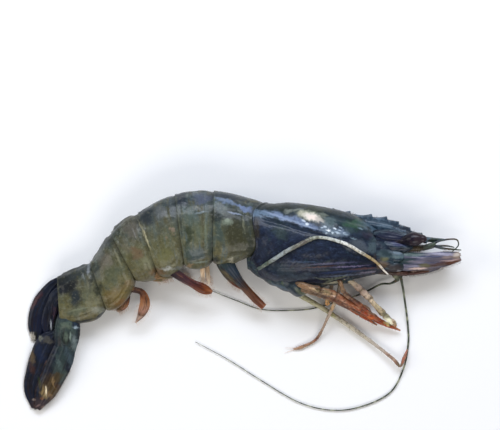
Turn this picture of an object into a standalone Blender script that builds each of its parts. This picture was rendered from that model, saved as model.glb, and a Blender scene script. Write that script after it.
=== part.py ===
"""A whole raw tiger prawn lying on its left side, with its head to +X and its back to +Y.

All sizes below are millimetres. The plan of the prawn is the view from above, and plan zero is the
middle of the seam between the head shell and the tail, before the model is centred on its box.
"""

import math

import bmesh
import bpy
from mathutils import Vector
from mathutils.bvhtree import BVHTree

MM = 0.001
BOX_CENTRE = (-3.25, -26.36)  # the middle of the whole prawn's box, in plan
GAP = 0.3  # clear space between neighbouring pieces
SAG = 0.8  # how far each round section is pressed flat where it lies on the table

# Where each hinge line of the shell crosses the back and the belly, and the half width there.
# Seams 0 to 6 run from the tail fan to the head shell, and 7 to 10 go on along the head shell.
SEAMS = (
    # back x, back y, belly x, belly y, half width
    (-77.2, -16.8, -76.0, -36.8, 5.5),
    (-64.0, -10.8, -56.6, -32.0, 7.0),
    (-55.6, 0.8, -44.4, -20.2, 8.4),
    (-44.8, 8.8, -36.0, -17.8, 9.6),
    (-30.0, 16.2, -27.6, -14.2, 10.4),
    (-14.4, 17.6, -14.8, -12.8, 10.8),
    (6.4, 12.9, -4.0, -11.6, 11.0),
    (16.8, 13.0, 7.2, -18.0, 12.2),
    (29.6, 11.2, 22.0, -19.8, 12.4),
    (40.8, 8.4, 38.4, -18.0, 10.8),
    (51.2, 2.8, 51.2, -15.4, 8.0),
)
HEAD_SEAM = 6
FRONT_SEAM = 10
FLANK_POWER = 0.82  # under 1 makes the flanks fuller than an ellipse's

RING_POINTS = 28
TAIL_RINGS = (0.0, 0.1, 0.26, 0.5, 0.74, 0.9, 1.0)  # shares of a tail segment, from the rear
REAR_FLARE = 0.45  # the rear rim of each shell stands over the next one
FRONT_TUCK = 0.45
LOBE_RISE = 2.2  # how far a side plate's lower edge rises at its two ends
SEAM_BOW = 3.6  # the seam behind the head shell swings this far to the rear high on the flank

SHELL_GREEN = ("segment_shell", (0.105, 0.115, 0.075), 0.35)
SHELL_NAVY = ("head_shell", (0.022, 0.032, 0.055), 0.3)
BELLY_SKIN = ("belly_skin", (0.06, 0.07, 0.05), 0.5)
BLADE_NAVY = ("tail_blade", (0.02, 0.025, 0.05), 0.3)
SCALE_BROWN = ("antennal_scale", (0.12, 0.075, 0.075), 0.35)
EYE_BLACK = ("eye", (0.01, 0.008, 0.012), 0.15)
LEG_RED = ("leg", (0.25, 0.07, 0.025), 0.4)
LEG_TAN = ("pale_leg", (0.24, 0.18, 0.09), 0.4)
SWIM_RED = ("swimmeret", (0.2, 0.06, 0.04), 0.4)
WHISKER = ("whisker", (0.07, 0.07, 0.05), 0.45)


def clear_scene():
    for found in list(bpy.data.objects):
        bpy.data.objects.remove(found)


def finish_of(look):
    name, colour, roughness = look
    if name in bpy.data.materials:
        return bpy.data.materials[name]
    material = bpy.data.materials.new(name)
    material.use_nodes = True
    shader = material.node_tree.nodes["Principled BSDF"]
    shader.inputs["Base Color"].default_value = (*colour, 1.0)
    shader.inputs["Roughness"].default_value = roughness
    shader.inputs["Metallic"].default_value = 0.0
    return material


def curve_at(points, u):
    """The point at u on the smooth curve that passes points[0] at u 0, points[1] at u 1, and so on."""
    last = len(points) - 1
    i = max(0, min(int(math.floor(u)), last - 1))
    t = u - i
    p1, p2 = points[i], points[i + 1]
    p0 = points[i - 1] if i > 0 else [2 * a - b for a, b in zip(p1, p2)]
    p3 = points[i + 2] if i + 2 <= last else [2 * b - a for a, b in zip(p1, p2)]
    return [
        0.5 * (2 * b + (c - a) * t + (2 * a - 5 * b + 4 * c - d) * t**2 + (3 * b - a - 3 * c + d) * t**3)
        for a, b, c, d in zip(p0, p1, p2, p3)
    ]


def solid(name, rings, look):
    """One closed body through rings of equal length, with a fan of triangles over each end."""
    mesh = bpy.data.meshes.new(name)
    shape = bmesh.new()
    rows = [[shape.verts.new(point) for point in ring] for ring in rings]
    count = len(rows[0])
    for low, high in zip(rows, rows[1:]):
        for i in range(count):
            j = (i + 1) % count
            shape.faces.new((low[i], low[j], high[j], high[i]))
    for row in (rows[0], rows[-1]):
        middle = shape.verts.new(sum((v.co for v in row), Vector()) / count)
        for i in range(count):
            shape.faces.new((row[i], row[(i + 1) % count], middle))
    bmesh.ops.triangulate(shape, faces=shape.faces[:])
    bmesh.ops.recalc_face_normals(shape, faces=shape.faces[:])
    centre = Vector((BOX_CENTRE[0], BOX_CENTRE[1], 0.0))
    for vert in shape.verts:
        vert.co = (vert.co - centre) * MM
    shape.to_mesh(mesh)
    shape.free()
    mesh.shade_smooth()
    piece = bpy.data.objects.new(name, mesh)
    piece.data.materials.append(finish_of(look))
    bpy.context.collection.objects.link(piece)
    return piece


def helper(piece):
    """Marks a shape that only cuts or joins others."""
    piece.hide_render = True
    piece.display_type = "WIRE"
    return piece


def join_or_cut(piece, other, operation):
    change = piece.modifiers.new(other.name, "BOOLEAN")
    change.operation = operation
    change.object = other
    change.solver = "EXACT"
    return piece


def cut_by(piece, *cutters):
    for cutter in cutters:
        join_or_cut(piece, cutter, "DIFFERENCE")
    return piece


# The body: one long loft between the back line and the belly line


def body_ring(seam, grow=0.0, rise=0.0, count=RING_POINTS):
    """The body's outline at a seam number. grow moves it outwards, and rise lifts the belly edge."""
    back_x, back_y, belly_x, belly_y, half_width = curve_at(SEAMS, seam)
    back, belly = Vector((back_x, back_y)), Vector((belly_x, belly_y))
    down = (belly - back).normalized()
    back -= down * grow
    belly += down * (grow - rise)
    middle, reach = (back + belly) / 2, (back - belly) / 2
    height = half_width - SAG
    bow = SEAM_BOW * max(0.0, 1.0 - abs(seam - HEAD_SEAM) / 0.9)
    ring = []
    for i in range(count):
        angle = 2 * math.pi * i / count
        side = math.sin(angle)
        across = math.copysign(abs(side) ** FLANK_POWER, side) * (half_width + grow)
        spot = middle + reach * math.cos(angle)
        swing = bow * 2 * abs(side) * math.cos(angle)
        ring.append(Vector((spot.x - swing, spot.y, max(height + across, 0.0))))
    return ring


def tail_segment(number):
    """Segment 1 is the one behind the head shell, and segment 6 carries the tail fan."""
    rear = HEAD_SEAM - number
    back_rear, back_front = curve_at(SEAMS, rear), curve_at(SEAMS, rear + 1)
    length = (Vector(back_front[:2]) - Vector(back_rear[:2])).length
    shortest = min(length, (Vector(back_front[2:4]) - Vector(back_rear[2:4])).length)
    margin = 0.5 * GAP / shortest
    rings = []
    for share in TAIL_RINGS:
        flare = REAR_FLARE if share < 0.2 else (-FRONT_TUCK if share > 0.85 else 0.0)
        rise = LOBE_RISE * abs(2 * share - 1) ** 3
        seam = rear + margin + share * (1 - 2 * margin)
        rings.append(body_ring(seam, flare, rise))
    return solid(f"tail_segment_{number}", rings, SHELL_GREEN)


HEAD_RINGS = (6.07, 6.16, 6.4, 6.8, 7.3, 7.8, 8.3, 8.8, 9.3, 9.7, 10.0)


def head_shell():
    rings = []
    for seam in HEAD_RINGS:
        flare = REAR_FLARE if seam < 6.2 else 0.0
        rings.append(body_ring(seam, flare))
    return solid("head_shell", rings, SHELL_NAVY)


# The rostrum: a thin toothed blade along the front of the back
ROSTRUM_BACK = ((16.0, 11.6), (26.0, 11.2), (36.0, 9.2), (46.0, 7.7), (54.6, 6.3), (60.0, 4.1), (68.8, -0.2),
                (78.4, -1.6))
ROSTRUM_UNDER = ((16.0, 8.0), (26.0, 7.0), (36.0, 4.0), (46.0, 2.0), (54.6, 0.2), (60.0, -1.2), (68.8, -2.8),
                 (78.4, -2.2))
ROSTRUM_TEETH = (33.8, 40.0, 48.6, 54.6, 59.6, 64.2, 68.8)  # x of each upper tooth's tip
LOWER_TEETH = (66.5, 70.5, 74.0)
TOOTH_HEIGHT = 1.3
TOOTH_LENGTH = 4.6
ROSTRUM_THICK = (3.4, 3.2, 2.8, 2.6, 2.3, 2.0, 1.6, 0.8)
ROSTRUM_STEPS = 40


def tooth(x, tips, length):
    """A saw tooth's height share at x: it climbs towards the tip and drops at once."""
    for tip in tips:
        if tip - length < x <= tip:
            return ((x - tip + length) / length) ** 1.5
    return 0.0


def rostrum():
    height = curve_at(SEAMS, FRONT_SEAM - 1)[4] - SAG
    last = len(ROSTRUM_BACK) - 1
    rings = []
    for step in range(ROSTRUM_STEPS + 1):
        mark = last * step / ROSTRUM_STEPS
        x, top = curve_at(ROSTRUM_BACK, mark)
        low = curve_at(ROSTRUM_UNDER, mark)[1]
        thick = curve_at([[t] for t in ROSTRUM_THICK], mark)[0] / 2
        top += TOOTH_HEIGHT * tooth(x, ROSTRUM_TEETH, TOOTH_LENGTH)
        low -= 0.5 * TOOTH_HEIGHT * tooth(x, LOWER_TEETH, 0.6 * TOOTH_LENGTH)
        middle = 0.55 * top + 0.45 * low
        rings.append(
            [
                Vector((x, top, height)),
                Vector((x, middle, height + thick)),
                Vector((x, low, height + 0.4 * thick)),
                Vector((x, low, height - 0.4 * thick)),
                Vector((x, middle, height - thick)),
            ]
        )
    return solid("rostrum_blade", rings, SHELL_NAVY)


# The underside of the chest and the face, which carry the legs and the feelers
CHEST_LINE = (
    # x, lowest y, half width
    (-1.0, -13.6, 3.4),
    (7.2, -19.2, 5.2),
    (15.0, -22.8, 5.8),
    (20.2, -24.8, 5.2),
    (24.0, -22.4, 5.0),
    (31.0, -20.4, 4.6),
    (41.0, -18.9, 3.8),
)
FACE_LINE = (
    # back x, back y, belly x, belly y, half width
    (50.0, 1.8, 50.4, -14.8, 7.4),
    (54.0, -0.8, 55.0, -15.2, 6.8),
    (57.6, -3.6, 59.0, -15.2, 5.2),
)


def chest():
    rings = []
    last = len(CHEST_LINE) - 1
    for i in range(2 * last + 1):
        x, low, half_width = curve_at(CHEST_LINE, i / 2)
        height = 11.0
        top = low + 12.0
        rings.append(oval((x - 1.0, top), (x, low), half_width, height, 14))
    return rings


def oval(back, belly, half_width, height, count, power=0.9):
    back, belly = Vector(back), Vector(belly)
    middle, reach = (back + belly) / 2, (back - belly) / 2
    ring = []
    for i in range(count):
        angle = 2 * math.pi * i / count
        side = math.sin(angle)
        across = math.copysign(abs(side) ** power, side) * half_width
        spot = middle + reach * math.cos(angle)
        ring.append(Vector((spot.x, spot.y, max(0.0, height + across))))
    return ring


def face():
    return [
        oval((bx, by), (vx, vy), w, 8.6, 18)
        for bx, by, vx, vy, w in (curve_at(FACE_LINE, i / 2) for i in range(5))
    ]


# Limbs, blades and feelers: lofts along a path


def limb(name, path, sizes, look, steps, sides=6, flat=1.0, lean=0.0):
    """A tapered limb. path has (x, y, z) points and sizes half widths, both spread evenly along it.
    flat is thickness over width, and lean turns a flat limb about its path, in degrees."""
    last = len(path) - 1
    rings = []
    up = Vector((0.0, 0.0, 1.0))
    for i in range(steps + 1):
        u = last * i / steps
        here = Vector(curve_at(path, u))
        ahead = Vector(curve_at(path, min(u + 0.02, last)))
        behind = Vector(curve_at(path, max(u - 0.02, 0)))
        along = (ahead - behind).normalized()
        across = up.cross(along).normalized()
        over = along.cross(across).normalized()
        turn = math.radians(lean)
        wide = across * math.cos(turn) + over * math.sin(turn)
        thick = over * math.cos(turn) - across * math.sin(turn)
        half = curve_at([[s] for s in sizes], (len(sizes) - 1) * i / steps)[0]
        half = max(half, 0.12)
        ring = []
        for k in range(sides):
            angle = 2 * math.pi * (k + 0.5) / sides
            point = here + wide * half * math.cos(angle) + thick * half * flat * math.sin(angle)
            point.z = max(point.z, 0.0)
            ring.append(point)
        rings.append(ring)
    return solid(name, rings, look)


def laid_on(bodies, path, clear):
    """Lifts each point of path until it clears the surfaces below it."""
    trees = [BVHTree.FromObject(body, bpy.context.evaluated_depsgraph_get()) for body in bodies]
    lifted = []
    for x, y, z in path:
        from_above = Vector(((x - BOX_CENTRE[0]) * MM, (y - BOX_CENTRE[1]) * MM, 0.1))
        hits = [tree.ray_cast(from_above, Vector((0.0, 0.0, -1.0)))[0] for tree in trees]
        lifted.append((x, y, max([z, *(hit.z / MM + clear for hit in hits if hit)])))
    return lifted


WALKING_LEGS = {
    # path from the chest to the tip, then half widths along it
    "walking_leg_4_right": (
        ((14.0, -19.5, 13.0), (19.5, -22.0, 13.2), (28.0, -23.0, 10.5), (37.5, -27.0, 7.2), (46.0, -31.6, 4.6),
         (54.0, -36.2, 2.6), (60.4, -38.6, 1.6)),
        (1.5, 1.7, 1.6, 1.8, 1.3, 1.5, 1.1, 1.2, 0.7, 0.35), LEG_RED),
    "walking_leg_3_right": (
        ((20.0, -17.5, 14.5), (24.0, -20.6, 15.4), (31.0, -21.6, 13.6), (39.5, -24.6, 11.4), (47.0, -29.6, 8.6),
         (53.0, -33.6, 6.4)),
        (1.2, 1.3, 1.1, 1.3, 0.9, 1.2, 0.9, 0.4), LEG_TAN),
    "walking_leg_1_right": (
        ((36.0, -16.0, 14.0), (39.6, -18.0, 12.4), (44.8, -22.4, 9.6), (50.0, -28.0, 7.4), (55.2, -33.4, 5.6),
         (58.6, -36.8, 4.4)),
        (1.0, 1.2, 1.1, 1.4, 1.0, 1.3, 1.0, 0.35), LEG_TAN),
    "walking_leg_2_right": (
        ((30.0, -16.5, 14.0), (32.6, -19.6, 15.6), (36.4, -21.8, 15.2), (43.0, -26.2, 13.2), (49.0, -30.6, 11.2)),
        (0.9, 1.0, 0.8, 1.0, 0.7, 0.9, 0.3), LEG_TAN),
    "walking_leg_5_left": (
        ((15.0, -20.0, 6.6), (19.2, -23.6, 4.8), (30.4, -30.2, 2.6), (46.4, -41.2, 2.0), (57.0, -49.4, 2.6),
         (60.2, -52.6, 2.8), (61.8, -49.6, 2.6), (63.2, -46.0, 1.9)),
        (1.2, 1.2, 1.0, 1.1, 0.8, 0.9, 0.6, 0.8, 0.25), LEG_TAN),
    "walking_leg_4_left": (
        ((18.0, -19.0, 6.0), (24.0, -22.6, 4.8), (33.0, -26.0, 2.6), (42.0, -30.6, 2.2), (51.0, -36.2, 1.6)),
        (1.1, 1.1, 0.9, 1.1, 0.8, 0.9, 0.3), LEG_TAN),
    "walking_leg_3_left": (
        ((35.6, -16.0, 9.0), (36.6, -20.0, 7.0), (35.0, -26.6, 5.0), (31.6, -32.8, 4.8), (28.4, -39.6, 2.0),
         (25.6, -43.4, 1.0), (20.0, -45.4, 0.8), (14.2, -46.8, 0.6)),
        (0.9, 0.9, 0.7, 0.8, 0.6, 0.8, 0.5, 0.6, 0.25), LEG_RED),
    "walking_leg_2_left": (
        ((31.6, -16.5, 8.0), (32.6, -20.4, 7.0), (31.4, -25.0, 5.2), (30.4, -28.2, 5.2)),
        (0.9, 0.9, 0.7, 0.9, 0.3), LEG_TAN),
    "walking_leg_1_left": (
        ((36.6, -15.0, 7.0), (40.6, -18.2, 6.4), (45.0, -22.0, 4.9), (49.4, -26.8, 3.6)),
        (0.8, 0.8, 0.6, 0.8, 0.3), LEG_TAN),
    "maxilliped_right": (
        ((38.4, -16.6, 13.0), (46.0, -17.4, 12.8), (54.0, -17.6, 12.2), (62.0, -17.0, 11.2), (70.6, -15.8, 10.0)),
        (1.0, 1.2, 1.1, 1.2, 1.0, 0.3), LEG_TAN),
    "maxilliped_left": (
        ((38.4, -16.6, 5.6), (46.0, -16.4, 2.6), (54.0, -14.6, 1.0), (61.0, -12.6, 1.0), (67.6, -12.2, 1.0)),
        (1.0, 1.2, 1.1, 1.2, 1.0, 0.3), LEG_TAN),
}
FOLDED_LEG = ((3.0, -14.6, 12.0), (6.0, -11.6, 15.0), (12.0, -8.4, 18.0), (18.0, -4.4, 20.0), (24.4, -0.9, 21.0),
              (31.0, -1.2, 21.0), (40.0, -5.6, 18.0), (48.0, -9.2, 14.6), (54.0, -14.0, 14.4), (57.6, -17.8, 14.2))
FOLDED_SIZES = (0.8, 0.8, 0.9, 1.1, 1.2, 0.95, 0.8, 0.65, 0.5, 0.3)

SWIMMERETS = {
    # path from the belly to the tip, half widths, look
    "swimmeret_1_right": (
        ((-13.0, -10.0, 13.5), (-9.6, -13.4, 13.5), (-4.4, -19.0, 11.0), (1.6, -25.0, 8.0), (5.4, -28.4, 6.4)),
        (2.0, 2.5, 2.1, 1.9, 0.7)),
    "swimmeret_2_right": (
        ((-18.0, -10.0, 11.6), (-17.8, -13.6, 11.4), (-17.8, -18.4, 8.6), (-17.4, -22.0, 5.6)),
        (2.2, 2.5, 2.2, 0.8)),
    "swimmeret_3_right": (
        ((-33.6, -12.6, 13.0), (-29.6, -15.4, 13.5), (-23.6, -19.0, 12.0), (-18.4, -21.6, 10.8), (-15.2, -22.8, 9.6)),
        (1.6, 2.0, 1.9, 2.5, 0.8)),
    "swimmeret_4_right": (
        ((-39.0, -14.0, 12.0), (-37.4, -16.8, 12.4), (-33.2, -18.6, 11.0), (-29.6, -19.6, 9.4)),
        (1.6, 2.2, 1.8, 0.7)),
    "swimmeret_5_right": (
        ((-50.8, -20.0, 10.0), (-47.2, -22.2, 10.6), (-42.8, -23.4, 9.8), (-41.2, -27.2, 8.4), (-42.6, -31.6, 7.0),
         (-45.8, -35.6, 5.6)),
        (1.6, 1.8, 1.7, 2.0, 1.4, 0.5)),
    "swimmeret_1_left": (
        ((-12.4, -10.0, 5.4), (-10.6, -13.8, 4.4), (-7.4, -18.6, 3.0), (-3.0, -22.6, 1.6)),
        (1.9, 2.3, 1.9, 0.6)),
    "swimmeret_2_left": (
        ((-23.0, -10.0, 5.4), (-22.0, -14.4, 4.4), (-20.0, -18.4, 2.8), (-18.6, -20.6, 1.6)),
        (1.9, 2.3, 1.9, 0.6)),
    "swimmeret_3_left": (
        ((-33.0, -12.0, 5.4), (-31.4, -16.0, 4.4), (-27.6, -18.4, 2.8), (-24.0, -19.6, 1.6)),
        (1.9, 2.2, 1.9, 0.6)),
    "swimmeret_4_left": (
        ((-42.0, -15.0, 5.4), (-40.4, -18.0, 4.4), (-36.8, -19.6, 2.8), (-33.4, -20.4, 1.6)),
        (1.7, 2.0, 1.7, 0.6)),
    "swimmeret_5_left": (
        ((-50.0, -20.0, 5.4), (-50.4, -24.6, 4.6), (-51.4, -28.0, 3.0), (-53.2, -30.8, 1.4)),
        (1.9, 2.5, 2.3, 0.7)),
}
SWIM_FLAT = 0.36

TAIL_BLADES = {
    # path from the base to the tip, half widths, lean in degrees
    "telson": (
        ((-73.0, -23.0, 6.0), (-77.6, -25.6, 5.6), (-79.0, -31.0, 4.9), (-80.0, -38.6, 4.2)),
        (3.4, 3.5, 2.9, 2.1, 1.1, 0.2), 0.42),
    "uropod_left_outer": (
        ((-75.0, -17.6, 2.4), (-79.2, -21.2, 1.6), (-83.0, -27.2, 0.9), (-85.2, -34.2, 0.7), (-85.8, -41.8, 0.7)),
        (1.4, 2.5, 3.3, 4.0, 4.3, 3.8, 0.9), 0.14),
    "uropod_left_inner": (
        ((-74.6, -22.0, 3.4), (-77.6, -25.0, 3.0), (-79.6, -30.0, 2.4), (-80.8, -35.6, 2.2), (-81.6, -40.4, 2.0)),
        (1.4, 2.0, 2.8, 3.2, 2.9, 0.8), 0.16),
    "uropod_right_base": (
        ((-73.6, -30.0, 6.2), (-72.4, -34.6, 6.4), (-72.2, -39.6, 6.0), (-73.2, -43.4, 5.2)),
        (2.8, 4.1, 4.3, 3.2), 0.6),
    "uropod_right_outer": (
        ((-73.9, -44.4, 5.2), (-74.8, -48.6, 4.8), (-77.0, -54.8, 4.2), (-80.2, -62.0, 3.3), (-84.6, -69.6, 2.1)),
        (3.4, 4.6, 4.9, 4.7, 3.9, 0.9), 0.15),
    "uropod_right_inner": (
        ((-77.2, -39.0, 3.4), (-81.0, -44.0, 2.8), (-84.6, -52.4, 2.0), (-87.0, -61.0, 1.1), (-86.6, -69.8, 0.7)),
        (1.4, 4.6, 5.0, 4.4, 3.6, 1.0), 0.14),
}

HEAD_BLADES = {
    "antennal_scale_right": (
        ((52.0, -9.4, 11.6), (58.0, -10.4, 12.0), (66.0, -10.6, 12.4), (75.0, -10.4, 11.8), (84.0, -9.2, 10.6)),
        (2.0, 3.2, 4.1, 4.1, 3.6, 0.9), 0.16),
    "antennal_scale_left": (
        ((52.0, -11.4, 6.4), (58.0, -12.4, 6.0), (65.0, -12.8, 5.4), (73.0, -12.4, 4.8), (80.0, -11.2, 4.2)),
        (2.0, 3.0, 3.5, 3.5, 3.0, 0.9), 0.16),
}
EYES = {
    "eye_right": (((54.0, -2.6, 11.0), (59.6, -2.4, 13.0), (65.0, -1.6, 14.8), (70.4, -1.5, 15.8)),
                  (1.3, 1.3, 1.4, 1.6, 2.6, 2.8, 1.9, 0.3)),
    "eye_left": (((54.0, -2.6, 5.6), (59.4, -2.6, 4.4), (64.4, -1.8, 3.8), (69.6, -2.0, 3.4)),
                 (1.3, 1.3, 1.4, 1.6, 2.6, 2.8, 1.9, 0.3)),
}
ANTENNULES = {
    "antennule_right": (
        ((54.0, -5.6, 10.4), (60.0, -5.2, 11.2), (68.6, -5.2, 11.4), (75.4, -2.8, 11.0), (82.6, -1.8, 10.0),
         (83.2, -4.2, 9.6), (80.8, -6.6, 9.6)),
        (1.6, 1.7, 1.4, 1.3, 0.5, 0.4, 0.35, 0.3, 0.3, 0.25)),
    "antennule_left": (
        ((54.0, -5.6, 6.8), (60.0, -5.4, 6.6), (68.0, -5.2, 6.2), (75.0, -4.4, 5.4), (82.0, -5.0, 4.2)),
        (1.6, 1.7, 1.4, 1.3, 0.5, 0.4, 0.35, 0.3, 0.25)),
}
# The long feelers, each with a thick stalk at the face and a whip that lies on the table
RIGHT_FEELER = ((55.0, -12.0, 9.0), (59.6, -15.8, 8.4), (61.0, -20.0, 6.6), (62.2, -27.0, 3.2), (63.4, -36.0, 1.0),
                (63.6, -44.0, 0.6), (61.6, -54.0, 0.6), (56.0, -63.6, 0.6), (44.0, -69.2, 0.6), (32.0, -70.4, 0.6),
                (19.0, -67.0, 0.6), (4.0, -58.2, 0.6), (-9.0, -50.0, 0.6), (-22.0, -43.0, 0.6))
LEFT_FEELER = ((55.0, -13.0, 4.4), (59.0, -17.2, 3.8), (56.6, -19.4, 2.8), (52.6, -19.8, 2.0), (47.4, -22.4, 1.3),
               (41.6, -24.8, 1.0), (28.4, -28.8, 0.6), (20.0, -30.2, 0.6), (5.0, -30.0, 0.6), (-6.0, -26.2, 0.6),
               (-17.0, -21.8, 0.6))
FEELER_SIZES = (1.5, 1.3, 0.62, 0.5, 0.42, 0.38, 0.34, 0.3, 0.27, 0.24, 0.2, 0.16)


def build():
    clear_scene()
    for number in range(1, HEAD_SEAM + 1):
        tail_segment(number)
    shell = head_shell()
    blade = helper(rostrum())
    join_or_cut(shell, blade, "UNION")

    tail_room = room("tail_room", [body_ring(0.2 * i, REAR_FLARE) for i in range(31)])
    head_room = room("head_room", [body_ring(HEAD_SEAM + 0.2 * i, REAR_FLARE) for i in range(21)])
    cut_by(solid("chest_underside", chest(), BELLY_SKIN), head_room, tail_room)
    chest_room = room("chest_room", chest())
    front = cut_by(solid("face", face(), BELLY_SKIN), head_room)
    face_room = room("face_room", face())

    for name, (path, sizes, look) in WALKING_LEGS.items():
        cut_by(limb(name, path, sizes, look, 16), chest_room, head_room, face_room)
    folded = laid_on((shell, front), FOLDED_LEG, FOLDED_SIZES[3] + GAP)
    cut_by(limb("walking_leg_5_right", folded, FOLDED_SIZES, LEG_TAN, 20), chest_room, head_room)
    for name, (path, sizes) in SWIMMERETS.items():
        cut_by(limb(name, path, sizes, SWIM_RED, 10, sides=8, flat=SWIM_FLAT), tail_room)
    for name, (path, sizes, flat) in TAIL_BLADES.items():
        cut_by(limb(name, path, sizes, BLADE_NAVY, 12, sides=8, flat=flat), tail_room)
    for name, (path, sizes, flat) in HEAD_BLADES.items():
        cut_by(limb(name, path, sizes, SCALE_BROWN, 12, sides=8, flat=flat), face_room)
    for name, (path, sizes) in EYES.items():
        cut_by(limb(name, path, sizes, EYE_BLACK, 14, sides=10), face_room, head_room)
    for name, (path, sizes) in ANTENNULES.items():
        cut_by(limb(name, path, sizes, WHISKER, 18), face_room)
    cut_by(limb("feeler_right", RIGHT_FEELER, FEELER_SIZES, WHISKER, 44, sides=5), face_room)
    cut_by(limb("feeler_left", LEFT_FEELER, FEELER_SIZES, WHISKER, 34, sides=5), face_room)


def room(name, rings):
    """A cutter that leaves GAP all round a body with these rings, and past its two ends."""
    middles = [sum(ring, Vector()) / len(ring) for ring in rings]
    grown = []
    for ring, middle in zip(rings, middles):
        grown.append([point + (point - middle).normalized() * GAP for point in ring])
    first = (middles[0] - middles[1]).normalized() * GAP
    last = (middles[-1] - middles[-2]).normalized() * GAP
    ends = [point + first for point in grown[0]], [point + last for point in grown[-1]]
    return helper(solid(name, [ends[0], *grown, ends[1]], BELLY_SKIN))


build()
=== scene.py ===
"""A whole raw tiger prawn on a pale table, seen from straight above."""

import math

import bmesh
import bpy
import numpy as np
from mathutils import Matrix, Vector


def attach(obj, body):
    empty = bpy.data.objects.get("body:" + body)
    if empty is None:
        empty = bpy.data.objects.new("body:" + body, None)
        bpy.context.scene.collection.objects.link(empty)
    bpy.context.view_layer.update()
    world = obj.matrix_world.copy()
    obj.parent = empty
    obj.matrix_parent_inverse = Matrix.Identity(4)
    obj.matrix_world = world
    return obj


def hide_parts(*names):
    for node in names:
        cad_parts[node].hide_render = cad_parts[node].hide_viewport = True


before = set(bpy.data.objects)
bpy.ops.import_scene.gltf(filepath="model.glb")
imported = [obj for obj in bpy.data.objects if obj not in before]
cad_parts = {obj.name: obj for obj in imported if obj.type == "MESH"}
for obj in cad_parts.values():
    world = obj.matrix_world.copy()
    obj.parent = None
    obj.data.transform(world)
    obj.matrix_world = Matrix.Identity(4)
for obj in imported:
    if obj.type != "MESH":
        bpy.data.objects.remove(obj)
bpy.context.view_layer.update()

# Table, camera and light
# A matt white table under a long lens that looks straight down, with one large cool window of light
# beyond the prawn's back, a smaller one at its tail, and a soft white room all round.
MM = 0.001
TABLE_WIDE = 3.0
PLAN_ZERO = Vector((3.25, 26.36, 0.0))  # the plan's zero in the row's millimetres
VIEW_WIDE_MM = 200.0
VIEW_MIDDLE = (0.0, 8.0, 8.0)  # plan millimetres, and the view is VIEW_WIDE_MM wide at this height
CAMERA_HEIGHT = 1.5
SENSOR_MM = 36.0


def place(x, y, z=0.0):
    """A plan point in millimetres as a point of the row in metres."""
    return (Vector((x, y, z)) + PLAN_ZERO) * MM


def srgb(code):
    """A hex colour as the linear colour that shaders take."""
    parts = [int(code[i : i + 2], 16) / 255 for i in (1, 3, 5)]
    return (*[c / 12.92 if c <= 0.04045 else ((c + 0.055) / 1.055) ** 2.4 for c in parts], 1.0)


def add(tree, kind, inputs=None, **settings):
    """Adds a node with its settings, and sets or links its inputs."""
    node = tree.nodes.new(kind)
    for key, value in settings.items():
        setattr(node, key, value)
    for key, value in (inputs or {}).items():
        if isinstance(value, bpy.types.NodeSocket):
            tree.links.new(value, node.inputs[key])
        else:
            node.inputs[key].default_value = value
    return node


# Matt white paint: rolled on, with no gloss, so that only soft shadows show.
table_paint = bpy.data.materials.new("matt_white_paint")
table_paint.use_nodes = True
shader = table_paint.node_tree.nodes["Principled BSDF"]
shader.inputs["Base Color"].default_value = srgb("#F6F6F5")
shader.inputs["Roughness"].default_value = 0.9
shader.inputs["Specular IOR Level"].default_value = 0.1
table_mesh = bpy.data.meshes.new("table")
half = TABLE_WIDE / 2
table_mesh.from_pydata(
    [(-half, -half, 0), (half, -half, 0), (half, half, 0), (-half, half, 0)], [], [(0, 1, 2, 3)]
)
table_mesh.materials.append(table_paint)
table = bpy.data.objects.new("table", table_mesh)
bpy.context.collection.objects.link(table)

lens = bpy.data.cameras.new("camera")
lens.sensor_width = SENSOR_MM
lens.lens = SENSOR_MM * (CAMERA_HEIGHT - VIEW_MIDDLE[2] * MM) / (VIEW_WIDE_MM * MM)
camera = bpy.data.objects.new("camera", lens)
camera.location = place(*VIEW_MIDDLE[:2]) + Vector((0, 0, CAMERA_HEIGHT))
bpy.context.collection.objects.link(camera)
bpy.context.scene.camera = camera

WINDOWS = (
    # name, place in metres, what it faces, width, height, watts, colour
    ("back_window", (0.02, 0.62, 0.62), (0.0, 0.02, 0.01), 0.9, 0.34, 7.4, "#EAF1FF"),
    ("tail_window", (-0.75, 0.1, 0.55), (-0.02, 0.0, 0.01), 0.4, 0.5, 2.0, "#FFFAF2"),
    ("belly_fill", (0.1, -0.75, 0.7), (0.0, 0.0, 0.01), 0.8, 0.5, 4.4, "#FFFAF4"),
)
for name, spot, target, wide, high, watts, colour in WINDOWS:
    lamp = bpy.data.lights.new(name, "AREA")
    lamp.shape = "RECTANGLE"
    lamp.size, lamp.size_y = wide, high
    lamp.energy = watts
    lamp.color = srgb(colour)[:3]
    holder = bpy.data.objects.new(name, lamp)
    holder.location = spot
    holder.rotation_euler = (Vector(target) - Vector(spot)).to_track_quat("-Z", "Y").to_euler()
    bpy.context.collection.objects.link(holder)

room = bpy.data.worlds.new("white_room")
room.use_nodes = True
room.node_tree.nodes["Background"].inputs["Color"].default_value = srgb("#F4F6FA")
room.node_tree.nodes["Background"].inputs["Strength"].default_value = 0.27
bpy.context.scene.world = room
bpy.context.scene.view_settings.view_transform = "Standard"


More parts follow.
